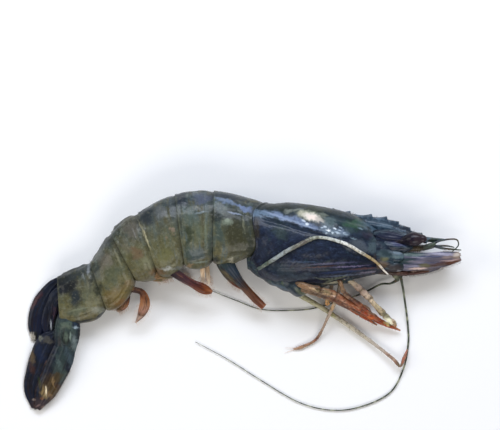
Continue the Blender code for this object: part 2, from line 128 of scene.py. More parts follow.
# Shell plates of the tail
# Six overlapping rings of chitin, each hinged to the next, and open only where the next one slides in.
# The rear rim of each stands over the plate behind it. They are wet, olive to grey green, and darker
# towards the back, with painted shade where each plate's front slips under the rim ahead.
SEAMS = (
    # back x, back y, belly x, belly y, half width: where each hinge line crosses the back and the belly
    (-77.2, -16.8, -76.0, -36.8, 5.5),
    (-64.0, -10.8, -56.6, -32.0, 7.0),
    (-55.6, 0.8, -44.4, -20.2, 8.4),
    (-44.8, 8.8, -36.0, -17.8, 9.6),
    (-30.0, 16.2, -25.8, -14.2, 10.4),
    (-14.4, 17.6, -14.8, -12.8, 10.8),
    (6.4, 12.9, -4.0, -11.6, 11.0),
    (16.8, 13.0, 7.2, -18.0, 12.2),
    (29.6, 11.2, 22.0, -19.8, 12.4),
    (40.8, 8.4, 38.4, -18.0, 10.8),
    (51.2, 2.8, 51.2, -15.4, 8.0),
)
HEAD_SEAM = 6
FRONT_SEAM = 10.0
UV_SEAMS = 10.0  # seam numbers in one unit of the UV map
SAG = 0.8  # each plate is pressed this flat on the table
FLANK_POWER = 0.82  # under 1 makes the flanks fuller than an ellipse's
SEAM_BOW = 3.6  # the seam behind the head shell swings back this far high on the flank
LOBE_RISE = 2.2  # how far a side plate's lower edge rises at its two ends
RIM_STAND = 0.15  # how far each rear rim stands over the next plate
FRONT_TUCK = 0.3  # how far each front edge dips under the plate before it
PLATE_RINGS = 46
PLATE_POINTS = 132
KEEL_FROM = 4  # the first plate that has a keel along the back


def curve_at(points, u):
    """Points on the smooth curve that passes points[0] at u 0, points[1] at u 1, and so on."""
    knots = np.asarray(points, float)
    u = np.asarray(u, float)
    i = np.clip(np.floor(u).astype(int), 0, len(knots) - 2)
    t = (u - i)[..., None]
    knots = np.vstack([2 * knots[0] - knots[1], knots, 2 * knots[-1] - knots[-2]])
    a, b, c, d = (knots[i + k] for k in range(4))
    return 0.5 * (2 * b + (c - a) * t + (2 * a - 5 * b + 4 * c - d) * t**2 + (3 * b - a - 3 * c + d) * t**3)


def flank(seam, around, rise=0.0):
    """The body's surface at seam numbers and at angles around it from the back, and its outward direction.
    Both are in plan millimetres. rise lifts the belly edge."""
    seam, around, rise = np.broadcast_arrays(seam, around, rise)
    line = curve_at(SEAMS, seam)
    back, belly, width = line[..., 0:2], line[..., 2:4], line[..., 4]
    down = belly - back
    down = down / np.linalg.norm(down, axis=-1, keepdims=True)
    belly = belly - down * rise[..., None]
    middle, reach = (back + belly) / 2, (back - belly) / 2
    side, lean = np.sin(around), np.cos(around)
    across = np.sign(side) * np.abs(side) ** FLANK_POWER * width
    spot = middle + reach * lean[..., None]
    bow = SEAM_BOW * np.clip(1.0 - np.abs(seam - HEAD_SEAM) / 0.9, 0.0, None)
    x = spot[..., 0] - bow * 2 * np.abs(side) * lean
    out = np.stack(
        [
            -down[..., 0] * lean / np.linalg.norm(reach, axis=-1),
            -down[..., 1] * lean / np.linalg.norm(reach, axis=-1),
            side / width,
        ],
        axis=-1,
    )
    out /= np.linalg.norm(out, axis=-1, keepdims=True)
    return np.stack([x, spot[..., 1], width - SAG + across], axis=-1), out


def ring_body(name, rings, along, material):
    """One closed body through rings of points in plan millimetres, with a fan of triangles over each end.
    Its UV map holds along, given for each ring, and the share of the way round."""
    rings = np.array(rings)
    rings[..., 2] = np.clip(rings[..., 2], 0.0, None)
    n, m = rings.shape[:2]
    points = np.vstack([rings.reshape(-1, 3), rings[0].mean(axis=0), rings[-1].mean(axis=0)])
    points = (points + np.array(PLAN_ZERO)) * MM
    i, j = np.meshgrid(np.arange(n - 1), np.arange(m), indexing="ij")
    k = (j + 1) % m
    quads = np.stack([i * m + j, i * m + k, (i + 1) * m + k, (i + 1) * m + j], axis=-1).reshape(-1, 4)
    here = np.arange(m)
    after = (here + 1) % m
    rear_fan = np.stack([after, here, np.full(m, n * m)], axis=-1)
    front_fan = np.stack([(n - 1) * m + here, (n - 1) * m + after, np.full(m, n * m + 1)], axis=-1)
    fans = np.vstack([rear_fan, front_fan])
    mesh = bpy.data.meshes.new(name)
    mesh.from_pydata(points.tolist(), [], quads.tolist() + fans.tolist())
    along = np.broadcast_to(np.asarray(along, float).reshape(n, -1), (n, m))
    flat_u = np.stack([along[i, j], along[i, k], along[i + 1, k], along[i + 1, j]], axis=-1)
    flat_v = np.stack([j, j + 1, j + 1, j], axis=-1) / m
    fan_u = [np.stack([along[e, after], along[e, here], along[e, here]], axis=-1) for e in (0, n - 1)]
    fan_u[1] = fan_u[1][:, [1, 0, 2]]
    front_v = np.stack([here, here + 1, here + 0.5], axis=-1) / m
    fan_v = [front_v[:, [1, 0, 2]], front_v]
    u = np.concatenate([flat_u.ravel(), fan_u[0].ravel(), fan_u[1].ravel()])
    v = np.concatenate([flat_v.ravel(), fan_v[0].ravel(), fan_v[1].ravel()])
    layer = mesh.uv_layers.new(name="UVMap")
    layer.data.foreach_set("uv", np.stack([u, v], axis=-1).ravel())
    shape = bmesh.new()
    shape.from_mesh(mesh)
    bmesh.ops.recalc_face_normals(shape, faces=shape.faces[:])
    if shape.calc_volume(signed=True) < 0:
        bmesh.ops.reverse_faces(shape, faces=shape.faces[:])
    shape.to_mesh(mesh)
    shape.free()
    mesh.shade_smooth()
    mesh.materials.append(material)
    piece = bpy.data.objects.new(name, mesh)
    bpy.context.collection.objects.link(piece)
    return piece


def keep(piece, slot, *nodes):
    """The piece rides on the prawn's one body and stands for the CAD nodes, which it hides. slot is not used.
    """
    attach(piece, "root")
    if nodes:
        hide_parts(*nodes)
    return piece


def hump(value, middle, width):
    """1 at the middle, falling to 0 about two widths away."""
    return np.exp(-(((value - middle) / width) ** 2))


def ease(value, low, high):
    """0 up to low, 1 from high on, and smooth between."""
    t = np.clip((value - low) / (high - low), 0.0, 1.0)
    return t * t * (3 - 2 * t)


def wet_chitin(name, rough, pit_mm, pit_deep_mm, coat=0.5, dent_mm=3.5, dent_deep_mm=0.3):
    """Chitin under a film of water: satin, finely pitted and softly dented, with a thin clear gloss on top.
    Returns the material, its tree, its shader and the object's coordinates in millimetres."""
    material = bpy.data.materials.new(name)
    material.use_nodes = True
    tree = material.node_tree
    shader = tree.nodes["Principled BSDF"]
    shader.inputs["IOR"].default_value = 1.26  # chitin seen through water
    shader.inputs["Coat Weight"].default_value = coat
    shader.inputs["Coat Roughness"].default_value = 0.16
    shader.inputs["Coat IOR"].default_value = 1.33
    where = add(tree, "ShaderNodeTexCoord")
    mm = add(tree, "ShaderNodeVectorMath", {0: where.outputs["Object"], "Scale": 1000.0}, operation="SCALE")
    pits = add(tree, "ShaderNodeTexNoise", {"Vector": mm.outputs[0], "Scale": 1 / pit_mm, "Detail": 3.0})
    dents = add(tree, "ShaderNodeTexNoise", {"Vector": mm.outputs[0], "Scale": 1 / dent_mm, "Detail": 2.0})
    wear = add(tree, "ShaderNodeTexNoise", {"Vector": mm.outputs[0], "Scale": 0.12, "Detail": 3.0})
    spread_out = {"From Min": 0.3, "From Max": 0.7, "To Min": rough - 0.1, "To Max": rough + 0.12}
    satin = add(tree, "ShaderNodeMapRange", {"Value": wear.outputs["Fac"], **spread_out})
    dented = add(tree, "ShaderNodeBump", {"Height": dents.outputs["Fac"], "Distance": dent_deep_mm * MM})
    pitted = add(
        tree,
        "ShaderNodeBump",
        {"Height": pits.outputs["Fac"], "Distance": pit_deep_mm * MM, "Normal": dented.outputs[0]},
    )
    tree.links.new(satin.outputs[0], shader.inputs["Roughness"])
    tree.links.new(pitted.outputs[0], shader.inputs["Normal"])
    tree.links.new(dented.outputs[0], shader.inputs["Coat Normal"])
    return material, tree, shader, mm.outputs[0]


def own_uv(tree):
    """The piece's own UV map, as a node with outputs X and Y."""
    return add(tree, "ShaderNodeSeparateXYZ", {0: add(tree, "ShaderNodeUVMap", uv_map="UVMap").outputs[0]})


def ramp(tree, value, stops):
    """A colour ramp through (place, hex colour) stops."""
    node = add(tree, "ShaderNodeValToRGB", {"Fac": value})
    elements = node.color_ramp.elements
    while len(elements) < len(stops):
        elements.new(0.5)
    for element, (spot, code) in zip(elements, sorted(stops)):
        element.position = spot
        element.color = srgb(code)
    return node.outputs["Color"]


def over(tree, below, colour, mask):
    """Lays a hex colour, or the colour of a socket, over another where the mask is 1."""
    top = srgb(colour) if isinstance(colour, str) else colour
    return add(tree, "ShaderNodeMix", {0: mask, 6: below, 7: top}, data_type="RGBA").outputs[2]


def tinted(tree, below, colour, value, low, high, strength):
    """Lays a colour over another, from none of it where the value is low to the strength where it is high."""
    settings = {"Value": value, "From Min": low, "From Max": high, "To Max": strength}
    return over(tree, below, colour, add(tree, "ShaderNodeMapRange", settings).outputs[0])


def spotted(tree, below, mm, spots, within=None):
    """Lays soft oval patches over a colour, through both flanks, or only where the mask within is 1. Each one
    is x, y, half length, half height, turn in degrees, colour, strength."""
    for x, y, wide, high, turn, code, strength in spots:
        away = add(tree, "ShaderNodeVectorMath", {0: mm, 1: tuple(place(x, y) / MM)}, operation="SUBTRACT")
        level = add(
            tree, "ShaderNodeVectorMath", {0: away.outputs[0], 1: (1.0, 1.0, 0.0)}, operation="MULTIPLY"
        )
        settings = {"Vector": level.outputs[0], "Angle": -math.radians(turn)}
        turned = add(tree, "ShaderNodeVectorRotate", settings, rotation_type="Z_AXIS")
        sizes = (1 / wide, 1 / high, 0.0)
        shrunk = add(tree, "ShaderNodeVectorMath", {0: turned.outputs[0], 1: sizes}, operation="MULTIPLY")
        far = add(tree, "ShaderNodeVectorMath", {0: shrunk.outputs[0]}, operation="LENGTH")
        settings = {"Value": far.outputs["Value"], "From Min": 1.15, "From Max": 0.35, "To Max": strength}
        mask = add(tree, "ShaderNodeMapRange", settings, interpolation_type="SMOOTHSTEP").outputs[0]
        if within is not None:
            mask = add(tree, "ShaderNodeMath", {0: mask, 1: within}, operation="MULTIPLY").outputs[0]
        below = over(tree, below, code, mask)
    return below


def ragged(tree, mm, size_mm, reach_mm, seed=0.0):
    """The coordinates pushed about by noise, so that a patch drawn on them has an uneven edge."""
    shifted = add(tree, "ShaderNodeVectorMath", {0: mm, 1: (seed, seed, seed)}, operation="ADD")
    settings = {"Vector": shifted.outputs[0], "Scale": 1 / size_mm, "Detail": 6.0, "Roughness": 0.64}
    push = add(tree, "ShaderNodeTexNoise", settings).outputs["Color"]
    centred = add(tree, "ShaderNodeVectorMath", {0: push, 1: (0.5, 0.5, 0.5)}, operation="SUBTRACT")
    pushed = add(
        tree, "ShaderNodeVectorMath", {0: centred.outputs[0], "Scale": 3.2 * reach_mm}, operation="SCALE"
    )
    return add(tree, "ShaderNodeVectorMath", {0: mm, 1: pushed.outputs[0]}, operation="ADD").outputs[0]


def wandering(tree, value, mm, scale, detail, roughness, reach):
    """A value pushed up and down by reach, so that what it draws has an uneven edge."""
    settings = {"Vector": mm, "Scale": scale, "Detail": detail, "Roughness": roughness}
    noise = add(tree, "ShaderNodeTexNoise", settings).outputs["Fac"]
    shift = add(tree, "ShaderNodeMapRange", {"Value": noise, "To Min": -reach, "To Max": reach})
    return add(tree, "ShaderNodeMath", {0: value, 1: shift.outputs[0]}, operation="ADD").outputs[0]


def drawn_out(tree, along, across, along_count, across_count, detail, roughness):
    """Noise in long strands, from two values that run along and across the piece, so often in each unit."""
    x = add(tree, "ShaderNodeMath", {0: along, 1: along_count}, operation="MULTIPLY")
    y = add(tree, "ShaderNodeMath", {0: across, 1: across_count}, operation="MULTIPLY")
    where = add(tree, "ShaderNodeCombineXYZ", {"X": x.outputs[0], "Y": y.outputs[0]})
    settings = {"Vector": where.outputs[0], "Scale": 1.0, "Detail": detail, "Roughness": roughness}
    return add(tree, "ShaderNodeTexNoise", settings).outputs["Fac"]


# Wet olive shell: grown chitin, mottled with blue grey and brown pigment spots under the surface. The pigment
# lies in soft bands across each plate. Painted shade darkens the front of each plate where it slips under the
# rim ahead, and a painted lavender sheen lies along the top of the first plates.
plate_shell, tree, shader, mm = wet_chitin("wet_olive_shell", 0.42, 0.7, 0.06)
uv = own_uv(tree)
seam = add(tree, "ShaderNodeMath", {0: uv.outputs["X"], 1: UV_SEAMS}, operation="MULTIPLY").outputs[0]
share = add(tree, "ShaderNodeMath", {0: seam}, operation="FRACT").outputs[0]
fold = add(tree, "ShaderNodeMath", {0: uv.outputs["Y"], 1: 0.5}, operation="PINGPONG").outputs[0]
loose = ragged(tree, mm, 6.0, 3.0)
fold_here = wandering(tree, fold, mm, 0.18, 5.0, 0.65, 0.1)
FRONT_BACK_TO_BELLY = (
    (0.0, "#182020"), (0.05, "#263134"), (0.11, "#3A464C"), (0.18, "#4A524C"), (0.26, "#5A5B42"),
    (0.36, "#645F40"), (0.43, "#5E5C42"), (0.5, "#44402A"),
)
REAR_BACK_TO_BELLY = (
    (0.0, "#161B18"), (0.05, "#22281F"), (0.11, "#363B30"), (0.18, "#494937"), (0.26, "#5A583A"),
    (0.36, "#696341"), (0.43, "#665E40"), (0.5, "#44402A"),
)
near_head = add(tree, "ShaderNodeMapRange", {"Value": seam, "From Min": 2.6, "From Max": 4.4})
colour = ramp(tree, fold_here, REAR_BACK_TO_BELLY)
colour = over(tree, colour, ramp(tree, fold_here, FRONT_BACK_TO_BELLY), near_head.outputs[0])
bands = drawn_out(tree, seam, fold, 6.5, 9.0, 5.0, 0.6)
colour = tinted(tree, colour, "#4A462D", bands, 0.5, 0.64, 0.85)
cool = add(tree, "ShaderNodeMapRange", {"Value": bands, "From Min": 0.49, "From Max": 0.36, "To Max": 0.9})
cooling = add(
    tree,
    "ShaderNodeMapRange",
    {"Value": seam, "From Min": 3.0, "From Max": 4.4, "To Min": 0.35, "To Max": 1.0},
)
cooler = add(tree, "ShaderNodeMath", {0: cool.outputs[0], 1: cooling.outputs[0]}, operation="MULTIPLY")
colour = over(tree, colour, "#4E5C5A", cooler.outputs[0])
grain = add(tree, "ShaderNodeTexNoise", {"Vector": mm, "Scale": 0.42, "Detail": 6.0, "Roughness": 0.7})
colour = tinted(tree, colour, "#7C8070", grain.outputs["Fac"], 0.53, 0.68, 0.5)
colour = tinted(tree, colour, "#363E34", grain.outputs["Fac"], 0.47, 0.32, 0.55)
# Pigment patches; the lavender blue ones at (-18.6, 14.6), (-9.4, 12.9) and (-2.2, 10.9) are painted sheen
# along the top.
PLATE_PATCHES_AND_SHEEN = (
    # x, y, half length, half height, turn, colour, strength
    (-4.0, 2.0, 9.0, 15.0, 6, "#2A3028", 0.66), (-47.0, 4.0, 6.0, 5.0, 40, "#4A4638", 0.5),
    (-18.6, 14.6, 4.6, 2.6, 0, "#4F5668", 0.8), (-9.0, 15.2, 9.0, 1.8, -8, "#222C38", 0.85),
    (-13.0, 7.4, 3.0, 3.6, 0, "#141E1C", 0.9), (-6.0, 8.0, 6.4, 1.7, -10, "#1A2420", 0.9),
    (-9.4, 12.9, 6.4, 1.3, -8, "#6C7C94", 0.9), (-2.2, 10.9, 4.4, 1.3, -21, "#7080A0", 0.9),
    (-26.8, 14.0, 3.0, 4.2, 0, "#1F2732", 0.9), (-41.6, 7.6, 4.4, 5.4, 35, "#21282E", 0.9),
    (-35.6, 9.6, 3.4, 4.0, 20, "#565A5C", 0.7), (-30.6, 12.0, 1.8, 6.0, 0, "#38424A", 0.6),
    (-5.4, 0.0, 5.0, 8.4, 10, "#35341F", 0.8), (-8.8, 5.4, 2.2, 2.0, 0, "#727C6C", 0.8),
    (-12.6, 1.0, 2.2, 6.0, 4, "#3A4844", 0.8), (-21.6, 1.0, 3.4, 7.0, 0, "#5A604A", 0.6),
    (-21.0, -7.4, 4.4, 4.0, 0, "#44545A", 0.75), (-30.8, 0.9, 1.2, 1.5, 0, "#8A7868", 0.6),
    (-32.6, -1.6, 1.0, 1.2, 0, "#80705E", 0.6), (-44.6, -7.0, 3.6, 3.4, 30, "#6A5640", 0.75),
    (-42.4, -11.6, 4.6, 2.6, 20, "#66654A", 0.6), (-53.4, -24.6, 6.4, 5.0, 35, "#66552A", 0.85),
    (-51.4, -27.6, 2.4, 2.0, 30, "#80542C", 0.7), (-36.2, -15.0, 3.4, 2.6, 10, "#6A4E30", 0.7),
    (-47.6, -16.6, 3.0, 3.0, 30, "#6A6646", 0.6), (-60.4, -8.0, 3.0, 3.4, 60, "#565A54", 0.6),
    (-69.4, -25.6, 3.4, 4.4, -25, "#16212B", 0.9), (-74.0, -19.6, 5.0, 6.8, -30, "#0E1318", 0.95),
    (-66.4, -14.0, 4.6, 3.2, 25, "#2A3234", 0.8), (-57.5, -3.4, 2.6, 4.0, -35, "#1F272B", 0.75),
    (-69.0, -30.6, 7.0, 2.4, 10, "#565D4C", 0.7), (-64.0, -22.0, 2.6, 4.0, 0, "#60624E", 0.6),
    (-62.2, -17.0, 1.5, 6.5, -22, "#22272A", 0.6), (-26.8, -13.2, 4.0, 1.4, 0, "#6B7478", 0.6),
    (-0.6, -4.0, 1.8, 7.0, 4, "#33362C", 0.7), (-47.0, 2.0, 4.0, 3.4, 30, "#5C5850", 0.6),
    (-58.0, -10.6, 3.6, 3.0, 40, "#5C564C", 0.65), (-55.0, -16.0, 3.4, 4.4, 30, "#4E5440", 0.6),
    (-24.6, 7.0, 2.4, 5.0, 0, "#4C5A52", 0.6), (-33.6, -8.0, 3.6, 5.0, 15, "#66663E", 0.6),
    (-15.8, -4.0, 2.0, 6.0, 0, "#3E4C48", 0.75), (-14.0, -11.6, 1.5, 3.4, 0, "#101614", 0.9),
    (-25.0, -0.6, 1.7, 6.4, -6, "#2C3626", 0.8), (-48.0, -20.0, 3.4, 2.4, 30, "#7C6A48", 0.7),
    (-40.4, -10.4, 2.6, 4.4, 20, "#7C7C60", 0.6), (-27.6, -9.8, 1.6, 3.2, 6, "#7A7A60", 0.7),
    (-50.8, -24.2, 4.0, 3.4, 35, "#70602E", 0.75), (-54.6, -29.6, 4.0, 1.3, 36, "#5C4822", 0.7),
    (-72.8, -21.4, 4.6, 3.8, -20, "#070B10", 0.98), (-75.4, -21.6, 2.8, 3.4, -10, "#0A1018", 1.0),
    (-60.2, -21.4, 2.8, 1.8, 30, "#262A20", 0.8), (-24.0, -6.4, 1.8, 4.0, 0, "#3C4A42", 0.7),
    (-7.4, -10.4, 2.2, 0.9, 0, "#A4A08C", 0.85), (-24.6, -11.8, 2.2, 1.0, 10, "#8E7658", 0.8),
    (-32.6, -13.4, 2.8, 1.0, 0, "#A4A69E", 0.85), (-60.2, -30.0, 3.4, 2.8, 20, "#848676", 0.8),
    (-62.4, -25.8, 3.4, 2.0, 20, "#7E7C62", 0.5), (-56.2, -26.6, 1.6, 2.0, -50, "#4E4216", 0.8),
    (-71.0, -16.6, 5.0, 1.6, 24, "#262C2E", 0.7),
)
colour = spotted(tree, colour, loose, PLATE_PATCHES_AND_SHEEN)
# Pigment lines; the pale lavender ones at (-19.6, 9.0) and (-6.0, 8.6) are painted sheen.
PLATE_LINES_AND_SHEEN = (
    (-41.9, 0.0, 6.8, 0.6, -67, "#B2AC8A", 0.9), (-39.2, -8.5, 4.6, 0.5, -70, "#86835E", 0.7),
    (-19.6, 9.0, 3.0, 0.5, 10, "#7E8C92", 0.6), (-27.4, 4.0, 0.6, 7.0, 6, "#2C332C", 0.7),
    (-9.2, 6.0, 1.2, 0.9, 0, "#8A9484", 0.7), (-6.0, 8.6, 3.4, 0.5, -14, "#8E9AB0", 0.7),
    (-2.6, 4.6, 0.5, 4.0, 8, "#6C6E5A", 0.6), (-64.4, -13.0, 0.8, 3.4, -10, "#8A9096", 0.6),
    (-20.0, -10.8, 4.0, 0.4, 6, "#8C988E", 0.6), (-31.0, -12.0, 3.0, 0.5, -6, "#7E7E62", 0.6),
    (-68.0, -29.6, 6.4, 0.45, 12, "#7E846C", 0.45), (-52.6, -9.0, 0.6, 4.6, 24, "#7C7A62", 0.6),
    (-67.4, -34.6, 6.2, 0.85, 12, "#171E22", 0.9), (-60.0, -32.2, 3.4, 0.85, 34, "#141D26", 0.85),
    (-22.6, -4.0, 0.5, 5.0, 0, "#3A4A46", 0.6), (-17.6, 1.0, 0.6, 6.0, 2, "#6E7866", 0.6),
)
colour = spotted(tree, colour, ragged(tree, mm, 2.0, 0.5, 11.0), PLATE_LINES_AND_SHEEN)
speck = add(tree, "ShaderNodeTexNoise", {"Vector": mm, "Scale": 0.9, "Detail": 5.0, "Roughness": 0.72})
colour = tinted(tree, colour, "#262B24", speck.outputs["Fac"], 0.53, 0.68, 0.42)
colour = tinted(tree, colour, "#8C8C76", speck.outputs["Fac"], 0.45, 0.3, 0.32)
rim_tint_and_front_shade_share = wandering(tree, share, mm, 0.9, 5.0, 0.72, 0.07)
# Painted shade: the front of each plate darkens where it slips under the rim of the plate ahead.
colour = tinted(tree, colour, "#20251E", rim_tint_and_front_shade_share, 0.84, 0.99, 0.55)
colour = tinted(tree, colour, "#50533F", rim_tint_and_front_shade_share, 0.06, 0.0, 0.3)
tree.links.new(colour, shader.inputs["Base Color"])

around = np.linspace(0, 2 * math.pi, PLATE_POINTS, endpoint=False)[None, :]
fold_at = np.minimum(around, 2 * math.pi - around) / math.pi  # 0 at the back, 1 at the belly
for number in range(1, HEAD_SEAM + 1):
    rear = HEAD_SEAM - number
    # The inside of the rim comes first, then the outer face from the rim to the tucked front.
    face_rings = np.linspace(0.0, 1.0, PLATE_RINGS) ** 1.15
    t = np.concatenate([[0.09, 0.05, 0.02, 0.004], face_rings, [1.04, 1.09]])[:, None]
    inner = np.concatenate([[-0.9, -0.75, -0.5, -0.18], np.zeros(PLATE_RINGS + 2)])[:, None]
    outer = RIM_STAND * (1 - ease(t, 0.0, 0.3)) - FRONT_TUCK * ease(t, 0.8, 0.97) - 0.5 * ease(t, 1.0, 1.09)
    outer = outer - 0.1 * hump(t, 0.1, 0.04)
    outer = outer + 0.4 * np.sin(math.pi * np.clip(t, 0, 1)) * (0.4 + 0.6 * np.sin(math.pi * fold_at))
    outer = outer - 0.24 * hump(t, 0.74, 0.03) * ease(fold_at, 0.06, 0.2) * (1 - ease(fold_at, 0.62, 0.76))
    crease = hump(fold_at, 0.76 + 0.03 * np.cos(3 * t), 0.018)
    outer = outer - 0.32 * crease * ease(t, 0.06, 0.2) * (1 - ease(t, 0.7, 0.85))
    outer = outer + 0.3 * hump(fold_at, 0.9, 0.05) * (1 - ease(t, 0.7, 0.9))
    outer = outer + 0.1 * np.sin(7 * around + 9 * t + number) * np.sin(4 * around - 6 * t)
    outer = outer + 0.08 * np.sin(13 * around - 5 * t + 2 * number) * np.sin(9 * t + 3 * np.sin(2 * around))
    outer = outer + 0.22 * np.sin(3 * around + 2.1 * number) * np.sin(math.pi * np.clip(t, 0, 1))
    if number >= KEEL_FROM:
        outer = outer + 0.7 * hump(fold_at, 0.0, 0.045) * ease(t, 0.04, 0.2) * (1 - ease(t, 0.75, 0.9))
    rise = LOBE_RISE * np.abs(2 * np.clip(t, 0, 1) - 1) ** 3
    points, out = flank(rear + t, around, rise)
    points = points + out * (outer + inner)[..., None]
    along = (rear + np.clip(t, 0.0, 0.9995)) / UV_SEAMS
    plate = ring_body(f"tail_plate_{number}", points, along, plate_shell)
    keep(plate, "segment_shell", f"tail_segment_{number}")


# Head shell
# One large saddle of chitin over the gills and the stomach, fixed along the back and free below. A groove
# runs under its upper ridge, and its front edge has a notch for the eye and a small spine below that.
SHELL_RINGS = 170
SHELL_POINTS = 168
ORBIT_NOTCH = 0.22
CHEEK_SPINE = 0.3
HEAD_LINES = (
    # points in plan, half width, height
    (((1.0, 7.2), (12.0, 4.4), (22.0, 1.4), (32.0, -0.6), (42.0, -1.6), (54.0, -3.6)), 0.8, -0.5),
    (((0.0, 9.0), (12.0, 6.2), (22.0, 3.2), (32.0, 1.0), (42.0, 0.0), (54.0, -1.8)), 1.1, 0.4),
    (((22.0, 9.4), (32.0, 7.2), (42.0, 5.0), (52.0, 2.0)), 0.8, -0.4),
    (((33.0, -1.6), (37.0, -5.0), (43.0, -8.2), (52.0, -9.4)), 0.7, -0.4),
    (((8.0, -13.4), (20.0, -13.0), (34.0, -12.4), (52.0, -11.4)), 0.5, -0.22),
    (((24.0, -14.4), (34.0, -14.0), (44.0, -13.2), (52.0, -12.6)), 0.4, 0.2),
    (((10.0, 0.0), (14.0, -6.0), (22.0, -9.0), (30.0, -8.6), (34.0, -4.0)), 1.2, -0.18),
)


def far_from(line, x, y):
    """The distance in plan from a smooth line."""
    knots = curve_at(line, np.linspace(0, len(line) - 1, 40))
    best = np.full(np.shape(x), 1e9)
    for a, b in zip(knots, knots[1:]):
        step = b - a
        t = np.clip(((x - a[0]) * step[0] + (y - a[1]) * step[1]) / (step @ step), 0, 1)
        best = np.minimum(best, np.hypot(x - a[0] - t * step[0], y - a[1] - t * step[1]))
    return best


# Wet navy shell: the same chitin with dense blue pigment, olive along the top, with a painted lavender
# highlight band along the upper flank, a painted glare, small painted wet glints along the ridge, and fine
# purple and brown lines low at the front.
head_shell, tree, shader, mm = wet_chitin("wet_navy_shell", 0.38, 0.9, 0.08, coat=0.34)
loose = ragged(tree, mm, 6.0, 2.6, 3.0)
lie = {"Rotation": (0, 0, math.radians(6)), "Scale": (0.1, 1.0, 0.6)}
streaks = add(tree, "ShaderNodeMapping", {"Vector": loose, **lie})
uv = own_uv(tree)
fold = add(tree, "ShaderNodeMath", {0: uv.outputs["Y"], 1: 0.5}, operation="PINGPONG").outputs[0]
HEAD_BACK_TO_BELLY = (
    (0.0, "#151C1A"), (0.05, "#1C2625"), (0.11, "#242F33"), (0.17, "#222E3C"), (0.23, "#192236"),
    (0.3, "#11182A"), (0.38, "#0E1428"), (0.44, "#10162A"), (0.5, "#141A24"),
)
colour = ramp(tree, wandering(tree, fold, mm, 0.16, 4.0, 0.5, 0.07), HEAD_BACK_TO_BELLY)
grain = add(tree, "ShaderNodeTexNoise", {"Vector": mm, "Scale": 0.35, "Detail": 6.0, "Roughness": 0.68})
colour = tinted(tree, colour, "#2F3F58", grain.outputs["Fac"], 0.5, 0.7, 0.45)
colour = tinted(tree, colour, "#22363A", grain.outputs["Fac"], 0.46, 0.32, 0.6)
fine = add(
    tree,
    "ShaderNodeTexNoise",
    {"Vector": streaks.outputs[0], "Scale": 1.3, "Detail": 5.0, "Roughness": 0.6},
)
colour = tinted(tree, colour, "#56688A", fine.outputs["Fac"], 0.55, 0.72, 0.28)
colour = tinted(tree, colour, "#0E1219", fine.outputs["Fac"], 0.46, 0.3, 0.6)
# Pigment patches; the lavender band from (6.0, 8.4) to (37.4, 1.2) and the pale zone at (32.0, 2.4) are
# painted highlights.
HEAD_PATCHES_AND_HIGHLIGHTS = (
    (11.0, 11.8, 11.0, 2.2, -3, "#1B221A", 0.8), (26.0, 10.6, 9.0, 1.6, -8, "#3C4030", 0.6),
    (6.0, 8.4, 8.0, 1.9, -12, "#64788C", 0.9), (14.0, 6.9, 7.0, 1.7, -16, "#7484A0", 0.9),
    (22.0, 4.0, 7.0, 1.4, -22, "#6C7C98", 0.85), (32.4, 1.4, 8.0, 1.6, -14, "#64748A", 0.75),
    (17.4, 9.6, 4.6, 1.3, -6, "#767C74", 0.85), (32.0, 5.2, 4.0, 1.8, -14, "#56686A", 0.8),
    (37.4, 1.2, 3.2, 1.5, -20, "#76869A", 0.85), (41.0, 4.2, 5.4, 2.4, -12, "#365440", 0.85),
    (36.0, 5.6, 4.0, 2.0, -12, "#2C3C44", 0.7), (50.0, 2.4, 8.0, 2.0, -14, "#587082", 0.7),
    (32.0, 2.4, 5.2, 2.1, -14, "#70808C", 0.75), (2.0, 2.0, 2.2, 5.4, 0, "#2C2820", 0.85),
    (4.6, -5.0, 3.0, 6.0, 6, "#20283A", 0.7), (12.0, 0.6, 4.0, 2.6, -20, "#36443F", 0.6),
    (43.0, -4.6, 6.0, 2.6, -16, "#565E66", 0.75), (49.6, -5.0, 4.0, 3.4, 0, "#4E5E64", 0.8),
    (50.4, 0.6, 3.0, 1.8, 0, "#26323E", 0.8), (12.4, -13.6, 7.0, 2.6, -24, "#27343E", 0.8),
    (20.0, -16.6, 6.0, 1.4, -4, "#3B4650", 0.6), (33.0, -17.4, 9.0, 0.7, 4, "#77806C", 0.6),
    (50.0, -9.6, 3.0, 2.0, 0, "#5A4C3C", 0.6), (47.0, -0.6, 4.0, 1.4, -8, "#2C2436", 0.6),
)
colour = spotted(tree, colour, loose, HEAD_PATCHES_AND_HIGHLIGHTS)
speck = add(tree, "ShaderNodeTexNoise", {"Vector": mm, "Scale": 0.9, "Detail": 5.0, "Roughness": 0.72})
colour = tinted(tree, colour, "#0C1018", speck.outputs["Fac"], 0.53, 0.68, 0.6)
colour = tinted(tree, colour, "#56667A", speck.outputs["Fac"], 0.44, 0.3, 0.22)
